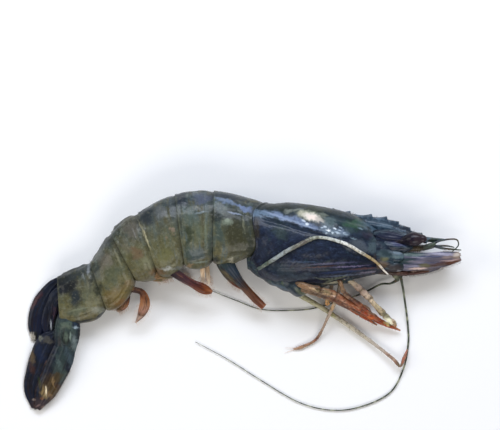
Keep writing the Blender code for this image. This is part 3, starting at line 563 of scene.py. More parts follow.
# Painted highlights: the pale lines of the upper band and the white glints along the ridge.
HEAD_LINES_AND_GLINTS = (
    (12.0, 7.2, 8.0, 0.5, -20, "#8C9AB4", 0.8), (20.0, 4.6, 7.0, 0.45, -20, "#8494AC", 0.8),
    (8.0, 6.6, 6.0, 0.4, -22, "#1A2230", 0.8), (22.6, 4.4, 0.9, 0.6, -20, "#DCE6EC", 0.9),
    (31.0, 1.9, 1.1, 0.5, -10, "#EEF4F8", 0.95), (32.6, 1.0, 0.7, 0.5, -10, "#C8D8E2", 0.9),
    (29.8, 3.4, 0.8, 0.5, -10, "#C2D0DA", 0.85), (33.6, 2.6, 0.9, 0.5, -20, "#D2DEE6", 0.9),
    (35.6, 1.9, 0.8, 0.4, -10, "#B8C8D4", 0.85), (30.2, 0.9, 0.8, 0.4, -10, "#A6B6C4", 0.8),
    (21.2, 5.8, 1.0, 0.5, -30, "#C6D2E0", 0.85), (37.2, 0.9, 0.7, 0.4, -10, "#B0C0CC", 0.8),
    (34.8, 0.9, 1.3, 0.45, -16, "#B8C8D4", 0.85), (28.6, 2.9, 0.7, 0.4, 0, "#B8C8D4", 0.8),
    (38.2, 0.1, 1.4, 0.35, -10, "#92A6B4", 0.8), (36.0, 3.0, 0.9, 0.4, -10, "#92A6B4", 0.7),
    (39.2, 1.8, 2.4, 1.5, -14, "#35464A", 0.75), (44.0, 2.6, 1.6, 0.4, -14, "#7E94A0", 0.7),
    (41.0, -1.4, 1.6, 0.35, -14, "#7E94A0", 0.7), (33.0, -11.2, 12.0, 0.45, 3, "#4A4A66", 0.85),
    (40.0, -12.4, 9.0, 0.35, 3, "#6C6480", 0.85), (28.0, -12.5, 8.0, 0.4, 4, "#4A2C2A", 0.8),
    (45.0, -13.4, 7.0, 0.55, 4, "#4E3234", 0.85), (47.4, -14.8, 5.0, 0.4, 4, "#7A7286", 0.7),
    (36.0, -14.6, 10.0, 0.6, 4, "#26365C", 0.7), (38.0, -16.0, 10.0, 0.35, 4, "#5E6A80", 0.6),
    (22.0, -10.6, 8.0, 0.4, 0, "#3C4C62", 0.6),
)
# A painted glare: a pale cream to white highlight on the upper flank.
PAINTED_GLARE_PATCH = (
    (23.8, 7.8, 6.6, 2.4, -14, "#8A8F7C", 0.85), (22.0, 8.4, 3.6, 1.3, -10, "#B4B29A", 0.8),
    (24.4, 7.3, 4.6, 1.7, -17, "#E2DACE", 0.95), (25.0, 7.0, 3.0, 1.1, -15, "#F0DED2", 0.9),
    (27.6, 6.2, 2.4, 1.3, -26, "#B4AEA4", 0.8), (29.4, 8.0, 1.8, 1.0, -10, "#6C7468", 0.7),
)
# The painted glare, the painted glints and the lines with them show on the upper flank only.
height = add(tree, "ShaderNodeSeparateXYZ", {0: mm}).outputs["Z"]
shown_side = add(tree, "ShaderNodeMapRange", {"Value": height, "From Min": 9.0, "From Max": 12.0}).outputs[0]
colour = spotted(tree, colour, ragged(tree, mm, 2.0, 1.15, 17.0), PAINTED_GLARE_PATCH, shown_side)
colour = spotted(tree, colour, ragged(tree, mm, 1.0, 0.5, 7.0), HEAD_LINES_AND_GLINTS, shown_side)
tree.links.new(colour, shader.inputs["Base Color"])

around = np.linspace(0, 2 * math.pi, SHELL_POINTS, endpoint=False)[None, :]
fold_at = np.minimum(around, 2 * math.pi - around) / math.pi
s = np.concatenate([[0.016, 0.008, 0.002], np.linspace(0.0, 1.0, SHELL_RINGS), [0.996, 0.985, 0.96]])[:, None]
inner = np.concatenate([[-0.9, -0.6, -0.2], np.zeros(SHELL_RINGS), [-0.35, -0.7, -1.0]])[:, None]
front_edge = FRONT_SEAM - ORBIT_NOTCH * hump(fold_at, 0.26, 0.1) + CHEEK_SPINE * hump(fold_at, 0.42, 0.025)
front_edge = front_edge + 0.1 * hump(fold_at, 0.75, 0.2) - 0.2 * ease(fold_at, 0.88, 1.0)
rear_edge = 6.005 + 0.26 * ease(fold_at, 0.8, 1.0)
seams = rear_edge + s * (front_edge - rear_edge)
points, out = flank(seams, around, 1.8 * (1 - ease(s, 0.0, 0.14)) + 0 * fold_at)
outer = RIM_STAND * (1 - ease(s, 0.0, 0.05)) + 0.12 * hump(s, 0.006, 0.006) - 0.16 * hump(s, 0.022, 0.008)
outer = outer + 0.1 * hump(s, 1.0, 0.012) + 0.28 * hump(fold_at, 0.95, 0.03) * ease(s, 0.02, 0.1)
for line, wide, high in HEAD_LINES:
    fade = ease(s, 0.03, 0.12)
    outer = outer + high * fade * hump(far_from(line, points[..., 0], points[..., 1]), 0.0, wide)
outer = outer + 0.06 * np.sin(9 * around + 40 * s) * np.sin(6 * around - 22 * s)
points = points + out * (outer + inner)[..., None]
keep(ring_body("gill_cover", points, seams / UV_SEAMS, head_shell), "head_shell", "head_shell")


# Rostrum
# A thin saw-toothed blade that grows out of the head shell's upper ridge, with a rib along each side.
# Its teeth point forwards, and a row of short hairs stands between them.
ROSTRUM_BACK = (
    (16.0, 11.6), (26.0, 11.2), (36.0, 9.2), (46.0, 7.7), (54.6, 6.3), (60.0, 4.1), (68.8, -0.2),
    (78.4, -1.6),
)
ROSTRUM_UNDER = (
    (16.0, 8.0), (26.0, 7.0), (36.0, 4.0), (46.0, 0.6), (54.6, -1.0), (60.0, -2.0), (68.8, -2.9),
    (78.4, -2.2),
)
ROSTRUM_TEETH = (33.8, 40.0, 48.6, 54.6, 59.6, 64.2, 68.8)
LOWER_TEETH = (66.5, 70.5, 74.0)
TOOTH_HEIGHT = 1.15
TOOTH_LENGTH = 4.6
ROSTRUM_THICK = (3.4, 3.2, 2.8, 2.6, 2.3, 2.0, 1.6, 0.7)
ROSTRUM_HEIGHT = curve_at(SEAMS, 9.0)[4] - SAG
ROSTRUM_RINGS = 260


def tooth(x, tips, length):
    """A saw tooth's height share at x: it climbs towards the tip and drops at once."""
    share = np.zeros(np.shape(x))
    for tip in tips:
        inside = (x > tip - length) & (x <= tip)
        share = np.where(inside, (np.clip(x - tip + length, 0.0, None) / length) ** 1.5, share)
        share = np.maximum(share, hump(x, tip + 0.12, 0.14) * 0.85 * (x > tip))
    return share


# Wet rostrum horn: the shell's thickest and smoothest chitin, dark blue green, and so the glossiest part.
rostrum_horn, tree, shader, mm = wet_chitin("wet_rostrum_horn", 0.36, 0.6, 0.06, coat=0.6)
uv = own_uv(tree)
ROSTRUM_BASE_TO_TIP = (
    (0.0, "#202A28"), (0.25, "#22323A"), (0.5, "#2B3E4E"), (0.68, "#223242"), (0.8, "#181C28"),
    (0.86, "#1E2A22"), (1.0, "#2C3A2A"),
)
colour = ramp(tree, uv.outputs["X"], ROSTRUM_BASE_TO_TIP)
grain = add(tree, "ShaderNodeTexNoise", {"Vector": mm, "Scale": 0.6, "Detail": 5.0})
colour = tinted(tree, colour, "#566C7E", grain.outputs["Fac"], 0.5, 0.66, 0.7)
# Pigment patches; the one at (48.0, 5.6) is a painted highlight.
ROSTRUM_PATCHES_AND_HIGHLIGHT = (
    (58.0, 0.2, 7.0, 2.0, -16, "#1E2A46", 0.8), (48.0, 5.6, 3.6, 1.0, -12, "#3E5262", 0.7),
    (54.0, 3.6, 4.0, 1.0, -14, "#4A6070", 0.6), (66.0, 1.0, 5.0, 1.2, -24, "#202C3A", 0.6),
    (36.0, 8.4, 8.0, 1.2, -10, "#273E38", 0.6),
)
colour = spotted(tree, colour, ragged(tree, mm, 5.0, 1.6, 9.0), ROSTRUM_PATCHES_AND_HIGHLIGHT)
tree.links.new(colour, shader.inputs["Base Color"])

u = np.linspace(0, len(ROSTRUM_BACK) - 1, ROSTRUM_RINGS)
top, low = curve_at(ROSTRUM_BACK, u), curve_at(ROSTRUM_UNDER, u)
thick = curve_at([[w] for w in ROSTRUM_THICK], u)[:, 0] / 2
x = top[:, 0]
up_teeth = TOOTH_HEIGHT * tooth(x, ROSTRUM_TEETH, TOOTH_LENGTH)
low_teeth = 0.6 * TOOTH_HEIGHT * tooth(x, LOWER_TEETH, 0.6 * TOOTH_LENGTH)
# Going round the blade: the share of the way from the lower edge to the top, and the share of the thickness.
BLADE_SECTION = (
    (1.0, 0.0), (0.97, 0.1), (0.86, 0.22), (0.74, 0.34), (0.66, 0.5), (0.6, 0.86), (0.54, 1.0),
    (0.46, 0.86), (0.38, 0.5), (0.22, 0.42), (0.08, 0.3), (0.0, 0.0),
)
section = list(BLADE_SECTION) + [(up, -out) for up, out in reversed(BLADE_SECTION[1:-1])]
rings = []
for up, out in section:
    y = low[:, 1] + (top[:, 1] - low[:, 1]) * up
    y = y + up_teeth * ease(up, 0.78, 0.98) - low_teeth * ease(up, 0.2, 0.04)
    rings.append(np.stack([x, y, ROSTRUM_HEIGHT + thick * out], axis=-1))
keep(ring_body("rostrum", np.stack(rings, axis=1), u / u[-1], rostrum_horn), "head_shell")


def new_tree(name, inputs):
    """A Geometry Nodes tree with named inputs of (name, socket type, default), and its two group nodes."""
    tree = bpy.data.node_groups.new(name, "GeometryNodeTree")
    tree.interface.new_socket("Geometry", in_out="INPUT", socket_type="NodeSocketGeometry")
    for label, kind, default in inputs:
        socket = tree.interface.new_socket(label, in_out="INPUT", socket_type=kind)
        if default is not None:
            socket.default_value = default
    tree.interface.new_socket("Geometry", in_out="OUTPUT", socket_type="NodeSocketGeometry")
    return tree, add(tree, "NodeGroupInput"), add(tree, "NodeGroupOutput")


def grown(name, points, edges, attributes, tree, values):
    """A plain mesh object that a Geometry Nodes tree makes from points in plan millimetres and their
    attributes."""
    seed_mesh = bpy.data.meshes.new(name + "_guide")
    seed_mesh.from_pydata([tuple(place(*p)) for p in points], edges, [])
    for label, (kind, data) in attributes.items():
        layer = seed_mesh.attributes.new(label, kind, "POINT")
        layer.data.foreach_set(
            "vector" if kind == "FLOAT_VECTOR" else "value", np.asarray(data, float).ravel()
        )
    guide = bpy.data.objects.new(name + "_guide", seed_mesh)
    bpy.context.collection.objects.link(guide)
    modifier = guide.modifiers.new("grow", "NODES")
    modifier.node_group = tree
    sockets = {item.name: item.identifier for item in tree.interface.items_tree if item.in_out == "INPUT"}
    for label, value in values.items():
        modifier[sockets[label]] = value
    depsgraph = bpy.context.evaluated_depsgraph_get()
    mesh = bpy.data.meshes.new_from_object(guide.evaluated_get(depsgraph), depsgraph=depsgraph)
    mesh.name = name
    bpy.data.objects.remove(guide)
    bpy.data.meshes.remove(seed_mesh)
    piece = bpy.data.objects.new(name, mesh)
    bpy.context.collection.objects.link(piece)
    return piece


# Geometry Nodes: a stiff hair on every guide point, leaning along the point's own direction.
bristles, source, result = new_tree(
    "bristles",
    (
        ("Hair width", "NodeSocketFloat", 0.0001), ("Splay", "NodeSocketFloat", 0.2),
        ("Seed", "NodeSocketInt", 1), ("Hair", "NodeSocketMaterial", None),
    ),
)
roots = add(bristles, "GeometryNodeMeshToPoints", {"Mesh": source.outputs["Geometry"]})
lean = add(bristles, "GeometryNodeInputNamedAttribute", {"Name": "lean"}, data_type="FLOAT_VECTOR")
reach = add(bristles, "GeometryNodeInputNamedAttribute", {"Name": "reach"}, data_type="FLOAT")
scatter = add(
    bristles,
    "FunctionNodeRandomValue",
    {0: (-1, -1, -1), 1: (1, 1, 1), "Seed": source.outputs["Seed"]},
    data_type="FLOAT_VECTOR",
)
splayed = add(
    bristles,
    "ShaderNodeVectorMath",
    {0: scatter.outputs[0], "Scale": source.outputs["Splay"]},
    operation="SCALE",
)
aim = add(
    bristles, "ShaderNodeVectorMath", {0: lean.outputs["Attribute"], 1: splayed.outputs[0]}, operation="ADD"
)
turn = add(bristles, "FunctionNodeAlignRotationToVector", {"Vector": aim.outputs[0]}, axis="Z")
vary = add(
    bristles,
    "FunctionNodeRandomValue",
    {2: 0.65, 3: 1.0, "Seed": source.outputs["Seed"]},
    data_type="FLOAT",
)
length = add(
    bristles, "ShaderNodeMath", {0: reach.outputs["Attribute"], 1: vary.outputs[1]}, operation="MULTIPLY"
)
size = add(
    bristles,
    "ShaderNodeCombineXYZ",
    {"X": source.outputs["Hair width"], "Y": source.outputs["Hair width"], "Z": length.outputs[0]},
)
hair = add(
    bristles,
    "GeometryNodeMeshCone",
    {"Vertices": 4, "Radius Top": 0.15, "Radius Bottom": 0.5, "Depth": 1.0},
)
hairs = add(
    bristles,
    "GeometryNodeInstanceOnPoints",
    {
        "Points": roots.outputs[0], "Instance": hair.outputs["Mesh"], "Rotation": turn.outputs[0],
        "Scale": size.outputs[0],
    },
)
real = add(bristles, "GeometryNodeRealizeInstances", {"Geometry": hairs.outputs[0]})
painted = add(
    bristles, "GeometryNodeSetMaterial", {"Geometry": real.outputs[0], "Material": source.outputs["Hair"]}
)
bristles.links.new(painted.outputs[0], result.inputs["Geometry"])

# Dull hair, brown and pale: chitin bristles that are too thin to show a gloss. They are drawn thicker than
# life, or they would not show.
hair_finishes = []
for name, dark, pale in (("brown_bristle", "#2E2420", "#6A5140"), ("pale_bristle", "#B08A70", "#E2CDBC")):
    material, tree, shader, mm = wet_chitin(name, 0.5, 0.5, 0.01, coat=0.0)
    tone = add(tree, "ShaderNodeTexNoise", {"Vector": mm, "Scale": 0.8, "Detail": 2.0})
    colour = ramp(tree, tone.outputs["Fac"], ((0.35, dark), (0.65, pale)))
    tree.links.new(colour, shader.inputs["Base Color"])
    hair_finishes.append(material)
brown_hair, pale_hair = hair_finishes


def fringe(name, slot, roots, leans, reach_mm, width_mm, splay, seed, hair_material):
    """A row of bristles rooted at points in plan millimetres."""
    reach = np.broadcast_to(np.asarray(reach_mm, float) * MM, (len(roots),))
    attributes = {"lean": ("FLOAT_VECTOR", leans), "reach": ("FLOAT", reach)}
    values = {"Hair width": width_mm * MM, "Splay": splay, "Seed": seed, "Hair": hair_material}
    return keep(grown(name, roots, [], attributes, bristles, values), slot)


spots = np.array([tip + gap for tip in ROSTRUM_TEETH[:-1] for gap in np.linspace(0.4, 2.2, 6)])
heights = np.interp(np.interp(spots, x, u), u, top[:, 1])
roots = [(a, b - 0.1, ROSTRUM_HEIGHT) for a, b in zip(spots, heights)]
fringe("rostrum_hairs", "head_shell", roots, [(0.6, 1.0, 0.0)] * len(spots), 0.9, 0.1, 0.25, 2, brown_hair)


# Underside of the chest
# Soft dark skin over the mouth parts, bulged where each leg's first joint is set into it. It shows as a
# narrow edge below the head shell.
CHEST_LINE = (
    (-1.0, -13.6, 3.4), (7.2, -19.2, 5.2), (15.0, -22.8, 5.8), (20.2, -24.8, 5.2), (24.0, -22.4, 5.0),
    (31.0, -20.4, 4.6), (41.0, -18.9, 3.8),
)
CHEST_HEIGHT = 11.0
BULGE_MM = 5.2
CHEST_RINGS = 90
OVAL_POINTS = 56

# Wet belly skin: thin, soft, unhardened chitin, wrinkled and so duller than the shell, mottled navy to olive.
belly_skin, tree, shader, mm = wet_chitin("wet_belly_skin", 0.4, 1.0, 0.15)
blend = add(tree, "ShaderNodeTexNoise", {"Vector": mm, "Scale": 0.45, "Detail": 5.0, "Roughness": 0.65})
BELLY_MOTTLE = ((0.3, "#141A22"), (0.44, "#222C34"), (0.55, "#2F3D48"), (0.64, "#46523F"), (0.75, "#5E7078"))
CHEST_PATCHES = (
    (4.0, -17.4, 6.0, 2.0, -38, "#1E2A34", 0.8), (16.0, -22.4, 7.0, 2.0, -12, "#1C2836", 0.85),
    (24.0, -21.6, 4.0, 2.0, 8, "#5A4A38", 0.8), (32.0, -18.4, 6.0, 1.4, 8, "#A29E86", 0.9),
    (12.0, -20.4, 5.0, 0.6, -25, "#4C6070", 0.6), (20.0, -22.6, 3.4, 1.4, -20, "#5C6450", 0.8),
)
colour = ramp(tree, blend.outputs["Fac"], BELLY_MOTTLE)
colour = spotted(tree, colour, ragged(tree, mm, 4.0, 1.2), CHEST_PATCHES)
tree.links.new(colour, shader.inputs["Base Color"])


def ovals(back, belly, halves, heights, count, power=0.9):
    """Rings of an oval section between back and belly points in plan."""
    angle = np.linspace(0, 2 * math.pi, count, endpoint=False)[None, :]
    back, belly = np.asarray(back)[:, None, :], np.asarray(belly)[:, None, :]
    spot = (back + belly) / 2 + (back - belly) / 2 * np.cos(angle)[..., None]
    across = np.sign(np.sin(angle)) * np.abs(np.sin(angle)) ** power * np.asarray(halves)[:, None]
    z = np.asarray(heights)[:, None] + across
    return np.concatenate([spot, z[..., None]], axis=-1)


u = np.linspace(0, len(CHEST_LINE) - 1, CHEST_RINGS)
line = curve_at(CHEST_LINE, u)
swell = 0.5 * np.abs(np.sin(math.pi * line[:, 0] / BULGE_MM)) - 0.3
rings = ovals(
    np.stack([line[:, 0] - 1, line[:, 1] + 12], axis=-1),
    np.stack([line[:, 0], line[:, 1] - swell], axis=-1),
    line[:, 2] + swell,
    np.full(len(u), CHEST_HEIGHT),
    OVAL_POINTS,
)
keep(ring_body("chest_skin", rings, u / u[-1], belly_skin), "belly_skin", "chest_underside")


# Face
# The soft front of the head between the eye, the feelers and the mouth, with a hard knuckle on each side
# that carries the long feeler and its scale.
FACE_LINE = ((50.0, 1.8, 50.4, -14.8, 7.4), (54.0, -0.8, 55.0, -15.2, 6.8), (57.6, -3.6, 59.0, -15.2, 5.2))
FACE_HEIGHT = 8.6
FACE_RINGS = 40
MUSCLE_RINGS = 44
MUSCLE_POINTS = 48
FACE_MUSCLES = (
    # what it is, middle, half sizes, turn in plan in degrees
    ("eye_root_right", (56.4, -0.6, 12.0), (9.0, 2.5, 2.4), -8),
    ("eye_root_left", (56.4, -0.6, 5.8), (9.0, 2.3, 2.2), -8),
    ("small_feeler_root_right", (57.0, -4.4, 12.4), (8.0, 2.2, 2.0), -4),
    ("small_feeler_root_left", (57.0, -4.4, 5.2), (8.0, 2.2, 2.0), -4),
    ("scale_root_right", (54.8, -8.4, 12.4), (6.8, 2.9, 2.1), -6),
    ("scale_root_left", (56.4, -8.4, 4.8), (7.6, 3.0, 2.6), -6),
    ("feeler_root_right", (55.6, -12.2, 11.4), (6.4, 2.4, 2.6), -4),
    ("feeler_root_left", (55.6, -12.2, 5.0), (6.4, 2.4, 2.6), -4),
    ("jaw", (51.4, -13.6, 8.8), (5.4, 2.2, 3.4), 0),
)
u = np.linspace(0, len(FACE_LINE) - 1, FACE_RINGS)
line = curve_at(FACE_LINE, u)
closing = np.sqrt(np.clip(1 - ease(u, 1.5, 2.02) ** 2, 0.04, 1))
middle = (line[:, 0:2] + line[:, 2:4]) / 2
rings = ovals(
    middle + (line[:, 0:2] - middle) * closing[:, None],
    middle + (line[:, 2:4] - middle) * closing[:, None],
    line[:, 4] * closing,
    np.full(len(u), FACE_HEIGHT),
    OVAL_POINTS,
)
# Wet face skin: thin navy skin over muscle, with fine lengthwise folds, teal over the scale's root and
# brown below.
face_skin, tree, shader, mm = wet_chitin("wet_face_skin", 0.36, 0.7, 0.12, coat=0.4)
loose = ragged(tree, mm, 3.0, 1.0, 2.0)
lie = {"Rotation": (0, 0, math.radians(5)), "Scale": (0.16, 1.0, 0.8)}
streaks = add(tree, "ShaderNodeMapping", {"Vector": loose, **lie})
blend = add(
    tree,
    "ShaderNodeTexNoise",
    {"Vector": streaks.outputs[0], "Scale": 0.9, "Detail": 5.0, "Roughness": 0.6},
)
FACE_MOTTLE = ((0.3, "#0C1018"), (0.44, "#182132"), (0.54, "#2A3944"), (0.62, "#44545C"), (0.74, "#6C7C88"))
FACE_PATCHES = (
    (57.0, -1.2, 9.0, 3.0, -8, "#1A1E36", 0.85), (60.0, -3.4, 5.0, 1.6, -4, "#303660", 0.7),
    (54.6, -8.0, 6.0, 2.0, -4, "#4E5F62", 0.75), (59.0, -6.8, 5.0, 0.8, -4, "#7C8C96", 0.8),
    (61.6, -11.2, 3.0, 1.8, -4, "#1E3230", 0.85), (60.0, -8.4, 7.0, 1.0, -2, "#5E7278", 0.85),
    (54.6, -7.4, 3.4, 1.6, -20, "#24343A", 0.8), (52.6, -12.0, 3.6, 1.8, 0, "#5E4A34", 0.8),
    (58.0, -13.0, 4.0, 2.0, 0, "#38302E", 0.85), (55.0, -14.8, 6.0, 1.0, 0, "#2E2228", 0.8),
    (59.6, -14.6, 1.4, 0.7, 0, "#8E8C90", 0.7), (53.6, -9.6, 2.2, 1.2, 0, "#6E6C48", 0.7),
)
colour = spotted(tree, ramp(tree, blend.outputs["Fac"], FACE_MOTTLE), loose, FACE_PATCHES)
tree.links.new(colour, shader.inputs["Base Color"])
keep(ring_body("face_skin", rings, u / u[-1], face_skin), "belly_skin", "face")
for number, (name, middle, sizes, turn) in enumerate(FACE_MUSCLES, 1):
    polar = np.linspace(0.03, math.pi - 0.03, MUSCLE_RINGS)[:, None]
    angle = np.linspace(0, 2 * math.pi, MUSCLE_POINTS, endpoint=False)[None, :]
    fold_waves = 1 + 0.05 * np.sin(7 * angle + number) + 0.05 * np.sin(3 * angle + 5 * polar)
    along = -sizes[0] * np.cos(polar) + 0 * angle
    across = sizes[1] * np.sin(polar) ** 0.8 * np.cos(angle) * fold_waves
    lean = math.radians(turn)
    rings = np.stack(
        [
            middle[0] + along * math.cos(lean) - across * math.sin(lean),
            middle[1] + along * math.sin(lean) + across * math.cos(lean),
            middle[2] + sizes[2] * np.sin(polar) ** 0.8 * np.sin(angle) * fold_waves,
        ],
        axis=-1,
    )
    keep(ring_body(name, rings, np.linspace(0, 1, MUSCLE_RINGS), face_skin), "belly_skin")


# Eyes
# Each is a dark, kidney-shaped lens on a short stalk that swings out from under the rostrum.
EYES = {
    "eye_right": (((54.0, -2.6, 11.0), (59.6, -2.4, 13.0), (65.0, -1.6, 14.8), (70.4, -1.5, 15.8)),
                  (1.3, 1.3, 1.4, 1.6, 2.6, 2.8, 1.9, 0.3)),
    "eye_left": (((54.0, -2.6, 5.6), (59.4, -2.6, 4.4), (64.4, -1.8, 3.8), (69.6, -2.0, 3.4)),
                 (1.3, 1.3, 1.4, 1.6, 2.6, 2.8, 1.9, 0.3)),
}
EYE_RINGS = 70
EYE_POINTS = 44


def frames(path, count):
    """Points evenly along a smooth path, with the directions along, across and over it at each."""
    u = np.linspace(0, len(path) - 1, count)
    here = curve_at(path, u)
    step = curve_at(path, np.clip(u + 0.02, 0, len(path) - 1)) - curve_at(path, np.clip(u - 0.02, 0, None))
    along = step / np.linalg.norm(step, axis=-1, keepdims=True)
    wide = np.cross([0.0, 0.0, 1.0], along)
    wide /= np.linalg.norm(wide, axis=-1, keepdims=True)
    return here, along, wide, np.cross(along, wide)


def spread(values, count):
    """Values given evenly along a path, at count places."""
    return curve_at([[v] for v in values], np.linspace(0, len(values) - 1, count))[:, 0]


# Wet eye lens: clear chitin over black pigment, in fine facets that break up its gloss. A real facet is too
# fine to show, so they are drawn 0.3 mm wide.
eye_lens, tree, shader, mm = wet_chitin("wet_eye", 0.34, 0.3, 0.01, coat=0.4)
uv = own_uv(tree)
stain = add(tree, "ShaderNodeTexNoise", {"Vector": mm, "Scale": 0.7, "Detail": 4.0})
stained = {0: stain.outputs["Fac"], 1: stain.outputs["Fac"], 2: uv.outputs["X"]}
stalk_to_lens = add(tree, "ShaderNodeMath", stained, operation="MULTIPLY_ADD")
EYE_COLOURS = (
    (0.0, "#33302E"), (0.45, "#2A2836"), (0.58, "#221A2C"), (0.7, "#0C0A12"), (0.9, "#1A1222"),
    (1.0, "#2C2026"),
)
colour = ramp(tree, stalk_to_lens.outputs[0], EYE_COLOURS)
facets = add(tree, "ShaderNodeTexVoronoi", {"Vector": mm, "Scale": 3.2})
bump = add(
    tree, "ShaderNodeBump", {"Height": facets.outputs["Distance"], "Distance": 0.00004, "Strength": 0.5}
)
tree.links.new(bump.outputs[0], shader.inputs["Normal"])
tree.links.new(colour, shader.inputs["Base Color"])
for name, (path, sizes) in EYES.items():
    here, along, wide, above = frames(path, EYE_RINGS)
    halves = np.clip(spread(sizes, EYE_RINGS), 0.1, None)
    halves[-8:] = halves[-9] * np.sqrt(np.clip(1 - (np.arange(1, 9) / 8.2) ** 2, 0.02, 1))
    angle = np.linspace(0, 2 * math.pi, EYE_POINTS, endpoint=False)
    rings = (
        here[:, None]
        + wide[:, None] * (halves[:, None] * np.cos(angle))[..., None]
        + above[:, None] * (halves[:, None] * 0.92 * np.sin(angle))[..., None]
    )
    keep(ring_body(name + "_lens", rings, np.linspace(0, 1, EYE_RINGS), eye_lens), "eye", name)


# Geometry Nodes: the skin of a limb or feeler. Each guide line becomes a tube as wide as its points say,
# with low rings at a set spacing. The UV map holds the length in centimetres and the share of the way round.
limb_skin, source, result = new_tree(
    "limb_skin",
    (
        ("Sides", "NodeSocketInt", 12), ("Flatness", "NodeSocketFloat", 0.85),
        ("Step", "NodeSocketFloat", 0.0004), ("Ring spacing", "NodeSocketFloat", 0.001),
        ("Ring height", "NodeSocketFloat", 0.0), ("Chitin", "NodeSocketMaterial", None),
    ),
)
path_line = add(limb_skin, "GeometryNodeMeshToCurve", {"Mesh": source.outputs["Geometry"]})
even = add(
    limb_skin,
    "GeometryNodeResampleCurve",
    {"Curve": path_line.outputs[0], "Length": source.outputs["Step"]},
    mode="LENGTH",
)
upright = add(limb_skin, "GeometryNodeSetCurveNormal", {"Curve": even.outputs[0]}, mode="Z_UP")
travelled = add(limb_skin, "GeometryNodeSplineParameter")
with_length = add(
    limb_skin,
    "GeometryNodeStoreNamedAttribute",
    {"Geometry": upright.outputs[0], "Name": "travelled", "Value": travelled.outputs["Length"]},
    data_type="FLOAT",
    domain="POINT",
)
circle = add(
    limb_skin, "GeometryNodeCurvePrimitiveCircle", {"Resolution": source.outputs["Sides"], "Radius": 1.0}
)
round_share = add(limb_skin, "GeometryNodeSplineParameter")
with_share = add(
    limb_skin,
    "GeometryNodeStoreNamedAttribute",
    {"Geometry": circle.outputs[0], "Name": "round_share", "Value": round_share.outputs["Factor"]},
    data_type="FLOAT",
    domain="POINT",
)
flat_scale = add(limb_skin, "ShaderNodeCombineXYZ", {"X": 1.0, "Y": source.outputs["Flatness"], "Z": 1.0})
profile = add(
    limb_skin, "GeometryNodeTransform", {"Geometry": with_share.outputs[0], "Scale": flat_scale.outputs[0]}
)
half_width = add(limb_skin, "GeometryNodeInputNamedAttribute", {"Name": "half_width"}, data_type="FLOAT")
gone = add(limb_skin, "GeometryNodeInputNamedAttribute", {"Name": "travelled"}, data_type="FLOAT")
turns = add(
    limb_skin,
    "ShaderNodeMath",
    {0: gone.outputs["Attribute"], 1: source.outputs["Ring spacing"]},
    operation="DIVIDE",
)
phase = add(limb_skin, "ShaderNodeMath", {0: turns.outputs[0], 1: 2 * math.pi}, operation="MULTIPLY")
wave = add(limb_skin, "ShaderNodeMath", {0: phase.outputs[0]}, operation="SINE")
swell_by = add(
    limb_skin,
    "ShaderNodeMath",
    {0: wave.outputs[0], 1: source.outputs["Ring height"], 2: 1.0},
    operation="MULTIPLY_ADD",
)
tube_scale = add(
    limb_skin,
    "ShaderNodeMath",
    {0: half_width.outputs["Attribute"], 1: swell_by.outputs[0]},
    operation="MULTIPLY",
)
tube = add(
    limb_skin,
    "GeometryNodeCurveToMesh",
    {
        "Curve": with_length.outputs[0], "Profile Curve": profile.outputs[0],
        "Scale": tube_scale.outputs[0], "Fill Caps": True,
    },
)
share_read = add(limb_skin, "GeometryNodeInputNamedAttribute", {"Name": "round_share"}, data_type="FLOAT")
length_cm = add(limb_skin, "ShaderNodeMath", {0: gone.outputs["Attribute"], 1: 100.0}, operation="MULTIPLY")
uv_pair = add(
    limb_skin,
    "ShaderNodeCombineXYZ",
    {"X": length_cm.outputs[0], "Y": share_read.outputs["Attribute"], "Z": 0.0},
)
mapped = add(
    limb_skin,
    "GeometryNodeStoreNamedAttribute",
    {"Geometry": tube.outputs[0], "Name": "UVMap", "Value": uv_pair.outputs[0]},
    data_type="FLOAT2",
    domain="CORNER",
)
smooth = add(limb_skin, "GeometryNodeSetShadeSmooth", {"Geometry": mapped.outputs[0]})
painted = add(
    limb_skin,
    "GeometryNodeSetMaterial",
    {"Geometry": smooth.outputs[0], "Material": source.outputs["Chitin"]},
)
real = add(limb_skin, "GeometryNodeRealizeInstances", {"Geometry": painted.outputs[0]})
limb_skin.links.new(real.outputs[0], result.inputs["Geometry"])


def limb(
    name, slot, nodes, strands, material, sides=12, flat=0.85, step_mm=0.4, ring_mm=1.0, ring_height=0.0,
):
    """A limb of one or more strands. Each strand is (path, half widths, joints), with its joints given as
    shares of its length. The joint attribute is high in a joint's soft skin, and share runs from 0 to 1."""
    points, edges, halves, joint_marks, shares = [], [], [], [], []
    for path, sizes, joints in strands:
        count = 40 * (len(path) - 1)
        here = frames(path, count)[0]
        here[:, 2] = np.clip(here[:, 2], 0.0, None)
        along = np.concatenate([[0], np.cumsum(np.linalg.norm(np.diff(here, axis=0), axis=1))])
        total = along[-1]
        half = np.clip(spread(sizes, count), 0.05, None)
        half = half * (1 + 0.05 * np.sin(0.9 * along + len(points)) * np.sin(2.3 * along))
        mark = np.zeros(count)
        for joint in joints:
            spot = joint * total
            size = float(np.interp(spot, along, half))
            knuckle = 0.14 * size * hump(along, spot - 0.95 * size, 0.6 * size)
            half = half * (1 - 0.2 * hump(along, spot, 0.35 * size)) + knuckle
            mark = np.maximum(mark, 0.7 * hump(along, spot, 0.35 * size))
        lift = half * flat * 1.02
        here[:, 2] = np.maximum(here[:, 2], lift)
        base = len(points)
        points += here.tolist()
        edges += [(base + k, base + k + 1) for k in range(count - 1)]
        halves += half.tolist()
        joint_marks += mark.tolist()
        shares += (along / total).tolist()
    attributes = {
        "half_width": ("FLOAT", np.array(halves) * MM),
        "joint": ("FLOAT", joint_marks),
        "share": ("FLOAT", shares),
    }
    values = {
        "Sides": sides, "Flatness": flat, "Step": step_mm * MM, "Ring spacing": ring_mm * MM,
        "Ring height": ring_height, "Chitin": material,
    }
    return keep(grown(name, points, edges, attributes, limb_skin, values), slot, *nodes)


